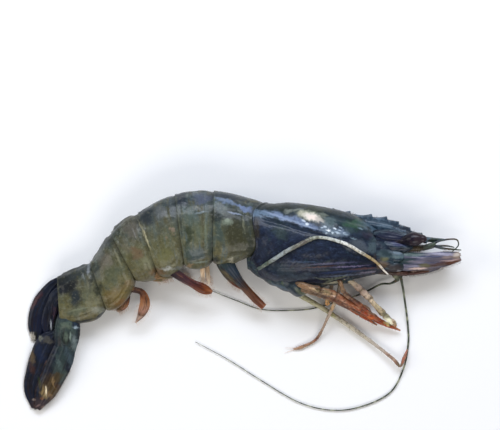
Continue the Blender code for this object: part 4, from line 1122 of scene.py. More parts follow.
def limb_chitin(name, stops, joint_colour, blots_and_glints=(), dark_code="#2E2018", pale_code="#A89C7C"):
    """Leg chitin: a colour ramp from the body to the tip, heavily blotched and streaked lengthwise, with soft
    skin at the joints. The patches are as on the plates: pigment blots, with some painted glints and painted
    shade."""
    material, tree, shader, mm = wet_chitin(name, 0.4, 0.5, 0.08, 0.5, 1.6, 0.25)
    share = add(tree, "ShaderNodeAttribute", attribute_name="share")
    joint = add(tree, "ShaderNodeAttribute", attribute_name="joint")
    colour = ramp(tree, wandering(tree, share.outputs["Fac"], mm, 0.35, 4.0, 0.6, 0.16), stops)
    colour = spotted(tree, colour, ragged(tree, mm, 2.0, 0.8), blots_and_glints)
    mid = add(tree, "ShaderNodeTexNoise", {"Vector": mm, "Scale": 0.75, "Detail": 5.0, "Roughness": 0.64})
    colour = tinted(tree, colour, dark_code, mid.outputs["Fac"], 0.51, 0.65, 0.8)
    uv = own_uv(tree)
    fine = drawn_out(tree, uv.outputs["X"], uv.outputs["Y"], 4.0, 9.0, 5.0, 0.66)
    colour = tinted(tree, colour, pale_code, fine, 0.48, 0.34, 0.7)
    colour = over(tree, colour, joint_colour, joint.outputs["Fac"])
    tree.links.new(colour, shader.inputs["Base Color"])
    return material


# Small feelers
# A three-jointed stalk beside each eye, which ends in two short whips.
# Wet feeler stalk: thin limb chitin, half soft, dark navy at the face to olive brown at the end.
feeler_stalk = limb_chitin(
    "wet_feeler_stalk",
    (
        (0.0, "#1E2630"), (0.3, "#2E3A44"), (0.5, "#4A3C30"), (0.62, "#4A402E"), (0.8, "#2C3630"),
        (1.0, "#4E5A4A"),
    ),
    "#2A221A",
    pale_code="#5A6254",
)
SMALL_FEELERS = {
    "antennule_right": (
        (
            ((54.0, -5.6, 10.4), (60.0, -5.2, 11.2), (68.6, -5.2, 11.4), (74.0, -3.4, 11.2)),
            (1.4, 1.5, 1.4, 1.2, 1.1, 0.7), (0.45, 0.72),
        ),
        (
            (
                (73.0, -3.6, 11.2), (75.4, -2.4, 11.0), (79.4, -1.7, 10.4), (82.6, -1.9, 10.0),
                (83.2, -4.2, 9.6), (80.8, -6.6, 9.6),
            ),
            (0.55, 0.45, 0.36, 0.3, 0.26, 0.2), (),
        ),
        (
            ((73.0, -4.2, 11.0), (76.4, -5.2, 10.6), (80.0, -5.6, 10.0), (84.4, -6.0, 9.4)),
            (0.6, 0.5, 0.4, 0.2), (),
        ),
    ),
    "antennule_left": (
        (
            ((54.0, -5.6, 6.8), (60.0, -5.4, 6.6), (68.0, -5.2, 6.2), (73.6, -4.6, 5.6)),
            (1.4, 1.5, 1.4, 1.2, 1.1, 0.7), (0.45, 0.72),
        ),
        (
            ((72.8, -4.6, 5.7), (75.4, -4.4, 5.4), (79.0, -4.4, 4.8), (82.0, -5.0, 4.2)),
            (0.55, 0.45, 0.36, 0.2), (),
        ),
    ),
}
for name, strands in SMALL_FEELERS.items():
    limb(
        name + "_whips",
        "whisker",
        [name],
        strands,
        feeler_stalk,
        sides=12,
        flat=0.9,
        step_mm=0.2,
        ring_mm=0.8,
        ring_height=0.06,
    )


# Long feelers
# Each starts in a thick stalk of three joints below the scale and thins to a hair. It is ringed all the way,
# dark grey green with short pale bands, and lies on the table.
RIGHT_FEELER = (
    (55.0, -12.0, 9.0), (59.6, -15.8, 8.4), (61.0, -20.0, 6.6), (62.2, -27.0, 3.2), (63.4, -36.0, 1.0),
    (63.6, -44.0, 0.6), (61.6, -54.0, 0.6), (56.0, -63.6, 0.6), (44.0, -69.2, 0.6), (32.0, -70.4, 0.6),
    (19.0, -67.0, 0.6), (4.0, -58.2, 0.6), (-9.0, -50.0, 0.6), (-22.0, -43.0, 0.6),
)
LEFT_FEELER = (
    (55.0, -13.0, 4.4), (59.0, -17.2, 3.8), (56.6, -19.4, 2.8), (52.6, -19.8, 2.0), (47.4, -22.4, 1.3),
    (41.6, -24.8, 1.0), (28.4, -28.8, 0.6), (20.0, -30.2, 0.6), (5.0, -30.0, 0.6), (-6.0, -26.2, 0.6),
    (-17.0, -21.8, 0.6),
)
WHIP_SIZES = (0.46, 0.42, 0.38, 0.34, 0.3, 0.26, 0.22, 0.19, 0.16, 0.1)
# Wet feeler whip: a horny thread of short rings with fine hairs, and so nearly without gloss.
whip, tree, shader, mm = wet_chitin("wet_feeler_whip", 0.42, 0.4, 0.02, coat=0.3)
uv = own_uv(tree)
beat = add(
    tree, "ShaderNodeTexNoise", {"W": uv.outputs["X"], "Scale": 3.0, "Detail": 1.0}, noise_dimensions="1D"
)
colour = ramp(
    tree, beat.outputs["Fac"], ((0.3, "#33392C"), (0.48, "#454B40"), (0.58, "#6E7360"), (0.7, "#94967E"))
)
joint = add(tree, "ShaderNodeAttribute", attribute_name="joint")
colour = over(tree, colour, "#6A4E30", joint.outputs["Fac"])
tree.links.new(colour, shader.inputs["Base Color"])
FEELERS = (
    ("feeler_right", RIGHT_FEELER, (1.3, 0.7), (0.03, 0.055)),
    ("feeler_left", LEFT_FEELER, (1.4, 1.2), (0.04, 0.085)),
)
for name, path, stalk, joints in FEELERS:
    strands = [(path, stalk + WHIP_SIZES, joints)]
    limb(name + "_whip", "whisker", [name], strands, whip, sides=10, flat=0.95, step_mm=0.22, ring_mm=0.9,
         ring_height=0.07)


# Antennal scales
# A stiff leaf over the root of each long feeler: its outer edge is a thick rib that ends in a spine, and
# the inner edge is thin and fringed with hair.
HEAD_BLADES = {
    "antennal_scale_right": (
        (
            (52.0, -9.4, 11.6), (58.0, -10.4, 12.0), (66.0, -10.5, 12.4), (75.0, -9.9, 11.8),
            (83.8, -8.6, 10.6),
        ),
        (2.0, 3.0, 3.7, 3.6, 3.2, 3.0, 1.9), 0.16,
    ),
    "antennal_scale_left": (
        ((52.0, -11.4, 6.4), (58.0, -12.4, 6.0), (65.0, -12.6, 5.4), (73.0, -11.4, 4.8), (80.0, -9.8, 4.2)),
        (2.0, 3.0, 3.5, 3.5, 3.0, 0.9), 0.16,
    ),
}


def leaf(
    name, path, sizes, flat, material, ribs, rings=110, points=72, cup=0.0, tear=0.0, rough_edge=0.0,
    seed=0, groove=None,
):
    """A flat blade along a path. Each rib is its place across, from -1 to 1, at the base and at the tip, its
    width and its height in mm. cup bends the blade's edges down, and tear frays its last part. groove is an
    oval line pressed into the top: middle x and y, half sizes, depth. Returns the piece and its edge."""
    here, along, wide, above = frames(path, rings)
    halves = np.clip(spread(sizes, rings), 0.12, None)
    share = np.linspace(0, 1, rings)[:, None]
    flat = spread(np.atleast_1d(flat), rings)[:, None] if np.ndim(flat) else flat
    angle = np.linspace(0, 2 * math.pi, points, endpoint=False)[None, :]
    c, s = np.cos(angle), np.sin(angle)
    draw = np.random.default_rng(seed)
    wobble = np.convolve(draw.normal(0, 1, rings + 8), np.ones(9) / 9, "valid")[:, None]
    width = halves[:, None] * (1 + rough_edge * wobble * np.abs(c) ** 4)
    lens = np.sign(s) * np.abs(s) ** 0.8 * halves[:, None] * flat
    for start, end, rib_width, rib_height in ribs:
        rib = rib_height * hump(c, start + (end - start) * share, rib_width) * np.abs(s) ** 0.3
        lens = lens + np.sign(s) * rib * ease(share, 0.0, 0.1)
    lens = lens - cup * halves[:, None] * c**2
    body = here[:, None] + wide[:, None] * (width * c)[..., None] + above[:, None] * lens[..., None]
    if groove:
        far = np.hypot((body[..., 0] - groove[0]) / groove[2], (body[..., 1] - groove[1]) / groove[3])
        body = body - above[:, None] * (groove[4] * (s > 0) * hump(far, 1.0, 0.3))[..., None]
    if tear:
        pull = tear * np.interp(c, np.linspace(-1, 1, 23), draw.uniform(-1, 1, 23)) * ease(share, 0.9, 1.0)
        body = body + along[:, None] * pull[..., None]
    piece = ring_body(name, body, share, material)
    edge = {
        "left": here + wide * halves[:, None],
        "right": here - wide * halves[:, None],
        "out_left": wide + 0.9 * along,
        "out_right": -wide + 0.9 * along,
    }
    return piece, edge


def edge_fringe(name, slot, edge, side, start, end, count, reach_mm, width_mm, seed, material, drop=0.0):
    """Hairs along one edge of a blade, between two shares of its length."""
    marks = np.linspace(start, end, count) * (len(edge[side]) - 1)
    index = np.arange(len(edge[side]))
    roots = np.stack([np.interp(marks, index, edge[side][:, k]) for k in range(3)], axis=-1)
    leans = np.stack([np.interp(marks, index, edge["out_" + side][:, k]) for k in range(3)], axis=-1)
    leans[:, 2] = leans[:, 2] - drop
    roots[:, 2] = np.clip(roots[:, 2], 0.12, None)
    return fringe(name, slot, roots, leans, reach_mm, width_mm, 0.18, seed, material)


# Wet scale leaf: a stiff, thin plate of chitin, grey violet in long streaks and brown at its fringed edge.
scale_leaf, tree, shader, mm = wet_chitin("wet_scale_leaf", 0.36, 0.6, 0.05, coat=0.45)
lie = {"Rotation": (0, 0, math.radians(-1)), "Scale": (0.08, 1.5, 0.6)}
streaks = add(tree, "ShaderNodeMapping", {"Vector": mm, **lie})
fine = add(tree, "ShaderNodeTexNoise", {"Vector": streaks.outputs[0], "Scale": 1.2, "Detail": 3.0})
SCALE_STREAKS = (
    (0.32, "#202634"), (0.44, "#44465A"), (0.55, "#5E5A68"), (0.66, "#8A8798"), (0.75, "#453C42"),
)
SCALE_PATCHES = (
    (77.0, -7.6, 8.0, 0.7, -3, "#9490A4", 0.85), (72.0, -8.6, 9.0, 0.45, -2, "#2C3456", 0.9),
    (76.0, -9.6, 10.0, 1.1, 6, "#5E565E", 0.8), (77.0, -11.6, 10.0, 1.1, 8, "#48302A", 0.9),
    (81.6, -10.6, 4.4, 1.2, 12, "#5E3A2A", 0.85), (82.8, -8.2, 2.6, 2.0, 10, "#94806E", 0.8),
    (72.0, -9.4, 4.0, 1.0, 2, "#484650", 0.7), (78.6, -8.8, 2.6, 0.9, 4, "#8A7870", 0.7),
    (82.4, -8.0, 1.6, 1.0, 10, "#C8BEB2", 0.6), (84.2, -6.8, 1.2, 0.5, 0, "#E6D8CC", 0.9),
    (64.0, -7.6, 7.0, 1.0, -2, "#48605C", 0.85), (62.0, -10.4, 5.0, 1.6, 0, "#1F3432", 0.9),
    (69.6, -12.2, 3.0, 0.9, 2, "#5E5A3C", 0.8), (67.0, -13.4, 4.4, 0.6, 2, "#D8BDB2", 0.85),
    (66.4, -10.6, 5.0, 0.5, 0, "#7A7480", 0.7), (80.0, -10.2, 5.0, 0.4, 4, "#A88E88", 0.7),
    (66.0, -15.4, 7.0, 0.9, 2, "#401C1A", 0.9),
)
colour = spotted(
    tree, ramp(tree, fine.outputs["Fac"], SCALE_STREAKS), ragged(tree, mm, 3.0, 0.5), SCALE_PATCHES
)
tree.links.new(colour, shader.inputs["Base Color"])
SCALE_RIBS = (
    (-0.75, -0.5, 0.1, 0.28), (0.0, 0.1, 0.08, 0.14), (0.45, 0.3, 0.06, 0.1), (-0.3, -0.2, 0.05, 0.08),
)
for seed, (name, (path, sizes, flat)) in enumerate(HEAD_BLADES.items(), 1):
    piece, edge = leaf(name + "_leaf", path, sizes, flat, scale_leaf, SCALE_RIBS, cup=0.12, tear=0.7,
                       rough_edge=0.02, seed=seed)
    keep(piece, "antennal_scale", name)
    edge_fringe(name + "_fringe", "antennal_scale", edge, "right", 0.45, 1.0, 70, 1.4, 0.12, seed, brown_hair)
    edge_fringe(
        name + "_tip_fringe", "antennal_scale", edge, "left", 0.82, 1.0, 24, 1.2, 0.12, seed + 4, brown_hair
    )


# Walking legs
# Five pairs, each a chain of hard tubes with soft dark skin at the joints. The first three pairs end in a
# small pincer, the last two in a plain claw. They lie loosely bundled, in front of the chest.
# Wet leg chitin, in four colours: hard, evenly pitted tubes, satin under the water film, tan, red brown, pale
# brown or olive.
tan_leg = limb_chitin(
    "wet_tan_leg",
    (
        (0.0, "#8A7E66"), (0.2, "#B8A68C"), (0.4, "#B29A8A"), (0.55, "#DCC6A6"), (0.72, "#A08E6C"),
        (0.85, "#B8A47C"), (1.0, "#B4643A"),
    ),
    "#4E3C28",
    # The cream spots at (55.4, -35.2) and (30.8, -27.4) are painted glints.
    blots_and_glints=(
        (43.6, -21.4, 3.4, 1.6, -46, "#8A6E62", 0.6), (51.0, -28.4, 2.0, 0.8, -45, "#C4B48C", 0.5),
        (55.0, -32.4, 3.0, 2.0, -45, "#8A8A6C", 0.8), (55.4, -35.2, 2.8, 2.2, -45, "#FFFCDC", 1.0),
        (30.8, -27.4, 1.8, 1.8, 0, "#E8B070", 0.9),
    ),
    pale_code="#B6A888",
)
red_leg = limb_chitin(
    "wet_red_leg",
    (
        (0.0, "#54422F"), (0.18, "#6E5840"), (0.34, "#92745A"), (0.5, "#8A5C42"), (0.62, "#74402A"),
        (0.72, "#9A4A22"), (0.86, "#A4401A"), (1.0, "#AC6C48"),
    ),
    "#3A1C12",
    # The pale spots at (55.2, -35.4), (33.4, -24.4) and (34.6, -23.8) are painted highlights; (27.0, -21.2)
    # is painted shade in the gap between two legs.
    blots_and_glints=(
        (21.0, -20.6, 5.0, 2.0, -8, "#8A6A4C", 0.85), (29.0, -22.4, 5.0, 1.4, -14, "#7E7454", 0.8),
        (28.0, -24.2, 5.0, 0.8, -14, "#44342A", 0.8), (33.6, -26.2, 4.0, 0.7, -26, "#5E2A16", 0.8),
        (27.0, -21.2, 2.6, 0.7, -20, "#3E3022", 0.8), (34.6, -23.8, 1.4, 0.8, -20, "#B4987C", 0.8),
        (41.2, -24.8, 3.2, 0.8, -35, "#94806C", 0.75), (40.2, -26.0, 1.6, 0.5, -30, "#4A1C0E", 0.85),
        (42.6, -30.2, 1.4, 0.5, -35, "#5A2410", 0.8), (36.6, -25.2, 4.0, 1.0, -28, "#A0684C", 0.7),
        (33.4, -24.4, 1.0, 0.6, -20, "#F0D8C4", 0.85), (41.0, -25.0, 6.0, 1.2, -34, "#332420", 0.9),
        (48.2, -30.4, 4.4, 1.1, -40, "#43302A", 0.9), (24.6, -21.2, 2.2, 0.5, -20, "#C8AC88", 0.8),
        (30.6, -23.6, 2.6, 0.5, -22, "#C2A27C", 0.8), (38.0, -26.8, 2.4, 0.5, -30, "#B87850", 0.7),
        (54.6, -36.8, 3.0, 0.8, -30, "#A8481E", 0.8), (33.0, -23.2, 2.0, 0.5, -24, "#B08C6C", 0.8),
        (41.6, -28.6, 3.0, 0.8, -32, "#B06030", 0.7), (48.0, -33.2, 1.5, 0.9, -35, "#D86A14", 0.9),
        (44.4, -28.4, 3.0, 0.6, -34, "#5C3018", 0.7), (51.6, -34.6, 1.6, 1.2, -35, "#7A2A12", 0.8),
        (55.2, -35.4, 2.0, 1.1, -30, "#E6D692", 0.95), (38.4, -29.4, 2.0, 0.7, -30, "#3E1C14", 0.7),
        (37.4, -26.4, 1.7, 0.5, -28, "#C49A80", 0.8), (43.6, -29.2, 1.5, 0.5, -34, "#C08E6C", 0.75),
    ),
    pale_code="#B08A68",
)
stone_leg = limb_chitin(
    "wet_brown_leg",
    (
        (0.0, "#8C8270"), (0.3, "#D2C0AA"), (0.5, "#B4A08E"), (0.7, "#8A6C54"), (0.85, "#A0785C"),
        (1.0, "#AE8468"),
    ),
    "#4A3020",
    # The cream spot at (32.4, -28.6) is a painted glint.
    blots_and_glints=((32.4, -28.6, 2.0, 2.0, 0, "#EEC694", 0.9), (26.6, -42.0, 2.0, 1.6, 30, "#7A4030", 0.8)),
    pale_code="#BCA084",
)
olive_leg = limb_chitin(
    "wet_olive_leg",
    (
        (0.0, "#A0A48C"), (0.18, "#A8A47E"), (0.42, "#CAC2AC"), (0.7, "#B2A698"), (0.86, "#9A6C58"),
        (1.0, "#A0503C"),
    ),
    "#5A5034",
    blots_and_glints=((32.6, -31.8, 2.4, 1.4, -30, "#B0B070", 0.8), (59.8, -51.6, 2.0, 1.4, -30, "#6A5848", 0.8)),
    dark_code="#5A5240",
    pale_code="#BAB294",
)
LEG_JOINTS = (0.1, 0.34, 0.5, 0.78)
WALKING_LEGS = {
    "walking_leg_4_right": (
        (
            (14.8, -16.4, 11.6), (18.6, -20.5, 14.4), (28.0, -23.2, 11.6), (37.5, -27.0, 7.6),
            (46.0, -31.5, 4.8), (54.0, -35.6, 2.6), (60.4, -38.4, 1.6),
        ),
        (1.4, 1.6, 1.5, 1.7, 1.4, 1.5, 1.2, 1.2, 0.8, 0.3), red_leg, LEG_JOINTS, False,
    ),
    "walking_leg_3_right": (
        (
            (16.4, -15.6, 12.6), (20.2, -19.5, 16.8), (27.0, -21.7, 16.2), (34.0, -23.9, 13.4),
            (40.6, -27.3, 10.8), (47.0, -31.4, 8.4), (52.4, -34.9, 6.2),
        ),
        (1.2, 1.4, 1.3, 1.5, 1.3, 1.3, 1.0, 0.3), red_leg, LEG_JOINTS, True,
    ),
    "walking_leg_1_right": (
        (
            (36.0, -16.0, 14.0), (39.6, -18.0, 12.4), (44.8, -22.4, 9.6), (50.0, -28.0, 7.4),
            (55.2, -33.4, 5.6), (58.6, -36.8, 4.4),
        ),
        (1.0, 1.2, 1.1, 1.4, 1.0, 1.3, 1.0, 0.35), tan_leg, LEG_JOINTS, True,
    ),
    "walking_leg_2_right": (
        (
            (34.8, -16.4, 13.6), (36.2, -19.4, 14.6), (37.8, -23.2, 14.2), (42.8, -27.0, 12.6),
            (48.4, -31.2, 10.6),
        ),
        (0.9, 1.0, 0.8, 1.0, 0.8, 0.9, 0.3), red_leg, LEG_JOINTS, True,
    ),
    "walking_leg_5_left": (
        (
            (15.0, -20.0, 6.6), (19.2, -23.6, 4.8), (30.4, -30.2, 2.6), (46.4, -41.2, 2.0),
            (57.0, -49.4, 2.6), (60.2, -52.6, 2.8), (61.8, -49.6, 2.6), (63.2, -46.0, 1.9),
        ),
        (1.1, 1.1, 1.0, 0.9, 0.66, 0.68, 0.5, 0.7, 0.25), olive_leg, (0.1, 0.4, 0.56, 0.87), False,
    ),
    "walking_leg_4_left": (
        (
            (18.0, -19.0, 6.0), (24.0, -22.6, 4.8), (33.0, -26.0, 2.6), (42.0, -30.6, 2.2),
            (51.0, -36.2, 1.6),
        ),
        (1.1, 1.1, 0.9, 1.1, 0.8, 0.9, 0.3), red_leg, LEG_JOINTS, False,
    ),
    "walking_leg_3_left": (
        (
            (35.6, -16.0, 9.0), (36.0, -20.0, 7.0), (34.2, -26.6, 5.0), (31.4, -32.6, 4.8),
            (28.4, -39.2, 2.0), (25.8, -42.6, 1.0), (21.8, -44.6, 0.8), (17.6, -45.9, 0.6),
        ),
        (0.9, 0.9, 0.7, 0.75, 0.5, 0.6, 0.5, 0.6, 0.3), stone_leg, (0.1, 0.3, 0.52, 0.7), True,
    ),
    "walking_leg_2_left": (
        ((31.6, -16.5, 8.0), (32.6, -20.4, 7.0), (31.4, -25.0, 5.2), (30.4, -28.2, 5.2)),
        (0.9, 0.9, 0.7, 0.9, 0.3), tan_leg, LEG_JOINTS, True,
    ),
    "walking_leg_1_left": (
        ((36.6, -15.0, 7.0), (40.6, -18.2, 6.4), (45.0, -22.0, 4.9), (49.4, -26.8, 3.6)),
        (0.8, 0.8, 0.6, 0.8, 0.3), tan_leg, LEG_JOINTS, True,
    ),
}


def pincer(path, sizes):
    """The movable finger of a pincer, beside the last part of a leg."""
    u = np.linspace(0.8, 1.0, 5) * (len(path) - 1)
    here = curve_at(path, u)
    wide = frames(path, 50)[2][-1]
    side = np.array([0.0, 0.5, 0.75, 0.6, 0.2])[:, None] * wide * 1.5 * sizes[-2]
    return tuple(map(tuple, here + side)), (0.5 * sizes[-2], 0.45 * sizes[-2], 0.34 * sizes[-2], 0.12), ()


GUIDE_POINTS = 60
HAIRY_PART = slice(20, 58, 2)  # the guide points of a leg that carry hairs
OFF_TABLE = (-999.0, -999.0, 0.15)  # the least x, y and height of a hair's root, in mm
for name, (path, sizes, look, joints, claw) in WALKING_LEGS.items():
    strands = [(path, sizes, joints)] + ([pincer(path, sizes)] if claw else [])
    slot = "leg" if look is red_leg or look is stone_leg else "pale_leg"
    limb(name + "_shell", slot, [name], strands, look, sides=16, flat=0.82, step_mm=0.3)
    here, along, wide, above = frames(path, GUIDE_POINTS)
    halves = spread(sizes, GUIDE_POINTS)[:, None]
    for side, way in (("front", wide), ("rear", -wide)):
        roots = np.clip((here + way * halves * 0.8)[HAIRY_PART], OFF_TABLE, None)
        leans = (way + 1.3 * along)[HAIRY_PART]
        seed = len(name) + int(name[12])
        fringe(f"{name}_{side}_hairs", slot, roots, leans, 1.2, 0.09, 0.5, seed, brown_hair)


# Two pale fibres trail from the claw of the third left leg.
roots = [(18.2, -45.5, 0.5), (18.0, -46.0, 0.4)]
leans = [(-1.0, 0.02, 0.0), (-1.0, -0.36, 0.0)]
fringe("claw_fibres", "leg", roots, leans, (4.4, 5.2), 0.26, 0.0, 3, pale_hair)


# Folded right hind leg
# The last right leg is folded up over the flank of the head shell, with its knee near the back, and lies on
# the shell all the way.
FOLDED_LEG = (
    (3.4, -13.4, 12.0), (10.0, -9.2, 16.0), (14.3, -6.4, 18.0), (19.2, -3.9, 20.0), (23.4, -1.8, 21.0),
    (26.4, -0.9, 21.0), (30.0, -1.1, 21.0), (33.7, -2.0, 20.0), (38.5, -3.6, 18.6), (42.1, -5.7, 17.0),
    (45.8, -7.9, 15.6), (49.5, -10.2, 14.6), (51.9, -12.4, 14.4), (53.7, -14.5, 14.4), (56.7, -17.0, 14.2),
)
FOLDED_SIZES = (0.7, 0.82, 0.84, 0.8, 0.62, 0.66, 0.68, 0.64, 0.56, 0.45, 0.28)
# Wet pale leg chitin: as on the other legs, pale past the knee and bone white where a highlight is painted
# along it.
folded_look = limb_chitin(
    "wet_folded_leg",
    (
        (0.0, "#4C5C56"), (0.12, "#5A6458"), (0.2, "#949C9E"), (0.28, "#6A6A60"), (0.36, "#5C544E"),
        (0.42, "#929888"), (0.56, "#DADEDA"), (0.64, "#EEEEE8"), (0.74, "#DCD8CC"), (0.81, "#C0B08C"),
        (0.86, "#A88C58"), (0.92, "#E2D6C6"), (1.0, "#EEE6DC"),
    ),
    "#5A5A48",
    pale_code="#A0A290",
    dark_code="#4A483C",
)
LAID_ABOVE = 0.75  # the leg's middle line stands this far over the shell, in mm
depsgraph = bpy.context.evaluated_depsgraph_get()
laid = []
for x, y, z in frames(FOLDED_LEG, GUIDE_POINTS)[0][::3]:
    start = place(x, y, 60.0)
    tops = [
        bpy.data.objects[name].evaluated_get(depsgraph).ray_cast(start, Vector((0, 0, -1)))
        for name in ("gill_cover", "face_skin", "scale_root_right", "feeler_root_right")
    ]
    heights = [hit[1].z / MM for hit in tops if hit[0]]
    laid.append((x, y, max([z, *(h + LAID_ABOVE for h in heights)])))
strands = [(laid, FOLDED_SIZES, (0.1, 0.42, 0.6, 0.84))]
limb(
    "walking_leg_5_right_shell",
    "pale_leg",
    ["walking_leg_5_right"],
    strands,
    folded_look,
    sides=16,
    flat=0.82,
    step_mm=0.3,
)


# Mouth legs
# The last pair of mouth parts, a hairy leg on each side that reaches forwards under the scales.
MOUTH_LEGS = {
    "maxilliped_right": (
        (
            (38.4, -15.0, 11.6), (46.0, -14.6, 10.8), (54.0, -14.6, 10.6), (62.0, -15.2, 10.4),
            (71.6, -14.4, 9.6),
        ),
        (1.0, 1.2, 1.1, 1.2, 1.0, 0.3),
    ),
    "maxilliped_left": (
        (
            (38.4, -15.0, 5.6), (46.0, -14.6, 2.6), (54.0, -13.4, 1.2), (61.0, -12.2, 1.0),
            (67.6, -12.0, 1.0),
        ),
        (1.0, 1.2, 1.1, 1.2, 1.0, 0.3),
    ),
}
# Wet mouth leg chitin: as on the other legs, dark red brown, with a pale streak near its tip.
mouth_look = limb_chitin(
    "wet_mouth_leg",
    ((0.0, "#3A3E3A"), (0.3, "#3E3C38"), (0.6, "#3A2620"), (0.8, "#42201A"), (1.0, "#5E3A30")),
    "#2A1A14",
    blots_and_glints=((67.0, -13.8, 4.0, 0.7, 2, "#E2C8BE", 0.9), (71.0, -13.4, 2.4, 1.0, 0, "#5A5A38", 0.8)),
    pale_code="#86685A",
)
MOUTH_HAIRY_FROM = 24
for seed, (name, (path, sizes)) in enumerate(MOUTH_LEGS.items(), 11):
    strands = [(path, sizes, (0.2, 0.5, 0.75))]
    limb(name + "_shell", "pale_leg", [name], strands, mouth_look, sides=14, flat=0.7, step_mm=0.3)
    here, along, wide, above = frames(path, GUIDE_POINTS)
    halves = spread(sizes, GUIDE_POINTS)[:, None]
    roots = np.clip((here - wide * halves * 0.8)[MOUTH_HAIRY_FROM:], OFF_TABLE, None)
    leans = (-wide + 0.8 * along)[MOUTH_HAIRY_FROM:]
    fringe(name + "_hairs", "pale_leg", roots, leans, 1.2, 0.1, 0.3, seed, brown_hair)


# Swimmerets
# Five pairs of paddles under the tail. Each is one soft, ribbed, red brown leaf on a stout stem, with a
# fringe of hair along its outer part.
SWIMMERETS = {
    "swimmeret_1_right": (
        (
            (-11.6, -8.6, 13.0), (-8.6, -13.0, 13.5), (-4.0, -18.8, 11.0), (1.6, -25.0, 8.0),
            (5.6, -28.8, 6.4),
        ),
        (2.4, 3.4, 2.6, 1.8, 1.6, 1.6, 1.3),
    ),
    "swimmeret_2_right": (
        ((-19.4, -9.0, 11.6), (-19.0, -13.0, 11.0), (-18.9, -17.0, 8.6), (-18.6, -20.6, 5.6)),
        (0.8, 0.9, 0.8, 0.35),
    ),
    "swimmeret_3_right": (
        (
            (-33.6, -12.6, 13.0), (-29.6, -15.4, 13.5), (-23.6, -19.0, 12.0), (-18.4, -21.6, 10.8),
            (-15.2, -22.8, 9.6),
        ),
        (1.5, 1.8, 1.6, 2.1, 0.8),
    ),
    "swimmeret_4_right": (
        ((-40.0, -13.0, 12.0), (-38.0, -15.4, 12.4), (-34.4, -16.4, 11.0), (-31.0, -16.8, 9.4)),
        (1.4, 1.7, 1.3, 0.6),
    ),
    "swimmeret_5_right": (
        (
            (-50.8, -20.0, 10.0), (-47.0, -21.6, 10.6), (-43.2, -22.9, 9.8), (-42.0, -26.9, 8.4),
            (-43.2, -31.0, 7.0), (-45.8, -35.2, 5.6),
        ),
        (1.2, 1.2, 1.3, 2.0, 1.7, 0.3),
    ),
    "swimmeret_1_left": (
        ((-12.4, -10.0, 5.4), (-10.4, -13.6, 4.4), (-7.2, -18.0, 3.0), (-3.6, -21.6, 1.6)),
        (1.7, 1.9, 1.5, 0.5),
    ),
    "swimmeret_2_left": (
        ((-18.0, -9.0, 5.4), (-17.2, -13.0, 4.4), (-16.8, -16.8, 2.8), (-16.4, -19.8, 1.6)),
        (0.8, 0.9, 0.8, 0.35),
    ),
    "swimmeret_3_left": (
        ((-33.0, -11.0, 5.4), (-31.0, -14.6, 4.4), (-27.0, -17.0, 2.8), (-23.4, -18.6, 1.6)),
        (1.7, 1.9, 1.5, 0.5),
    ),
    "swimmeret_4_left": (
        ((-42.0, -14.0, 5.4), (-40.0, -16.4, 4.4), (-36.4, -17.4, 2.8), (-33.0, -17.8, 1.6)),
        (1.5, 1.7, 1.4, 0.5),
    ),
    "swimmeret_5_left": (
        ((-50.0, -20.0, 5.4), (-50.4, -24.6, 4.6), (-51.4, -28.0, 3.0), (-53.2, -30.8, 1.4)),
        (1.9, 2.5, 2.3, 0.7),
    ),
}
SWIM_FLAT = 0.36
SWIM_LOOKS = {
    "swimmeret_1": (
        (0.0, "#343C32"), (0.26, "#24323A"), (0.42, "#1E2A36"), (0.54, "#36211A"), (0.68, "#623A22"),
        (0.8, "#5E3420"), (0.95, "#7C3E24"), (1.0, "#A87454"),
    ),
    "swimmeret_2": (
        (0.0, "#8E6A48"), (0.3, "#D8B48A"), (0.6, "#F2DABC"), (0.85, "#F6E4CC"), (1.0, "#FAF0E0"),
    ),
    "swimmeret_3": (
        (0.0, "#1C221E"), (0.25, "#2A1E24"), (0.46, "#46222A"), (0.66, "#5A260E"), (0.84, "#7E4424"),
        (1.0, "#8C5A40"),
    ),
    "swimmeret_4": ((0.0, "#6A5434"), (0.4, "#86643E"), (0.75, "#7C7254"), (1.0, "#9A988E")),
    "swimmeret_5": (
        (0.0, "#5E5220"), (0.14, "#7A6434"), (0.24, "#34180A"), (0.38, "#34180A"), (0.5, "#78482A"),
        (0.62, "#9A6C4A"), (0.74, "#A07460"), (0.86, "#644634"), (1.0, "#E4CCBC"),
    ),
}
FIRST_STEM_PATCHES = (
    (-9.0, -16.4, 5.0, 1.1, -40, "#54492C", 0.85), (-3.0, -14.8, 3.6, 0.8, -52, "#6A4A30", 0.8),
    (-6.4, -14.4, 3.6, 1.8, -48, "#24303E", 0.8),
)
LAST_LOBE_PATCH = ((-53.6, -27.6, 4.0, 3.4, 20, "#564820", 0.85),)
SWIM_DARK_STRANDS = {"swimmeret_2": "#A8845C"}
SWIM_PALE_STRANDS = {"swimmeret_1": "#7C7A6C", "swimmeret_2": "#FFFAF0"}
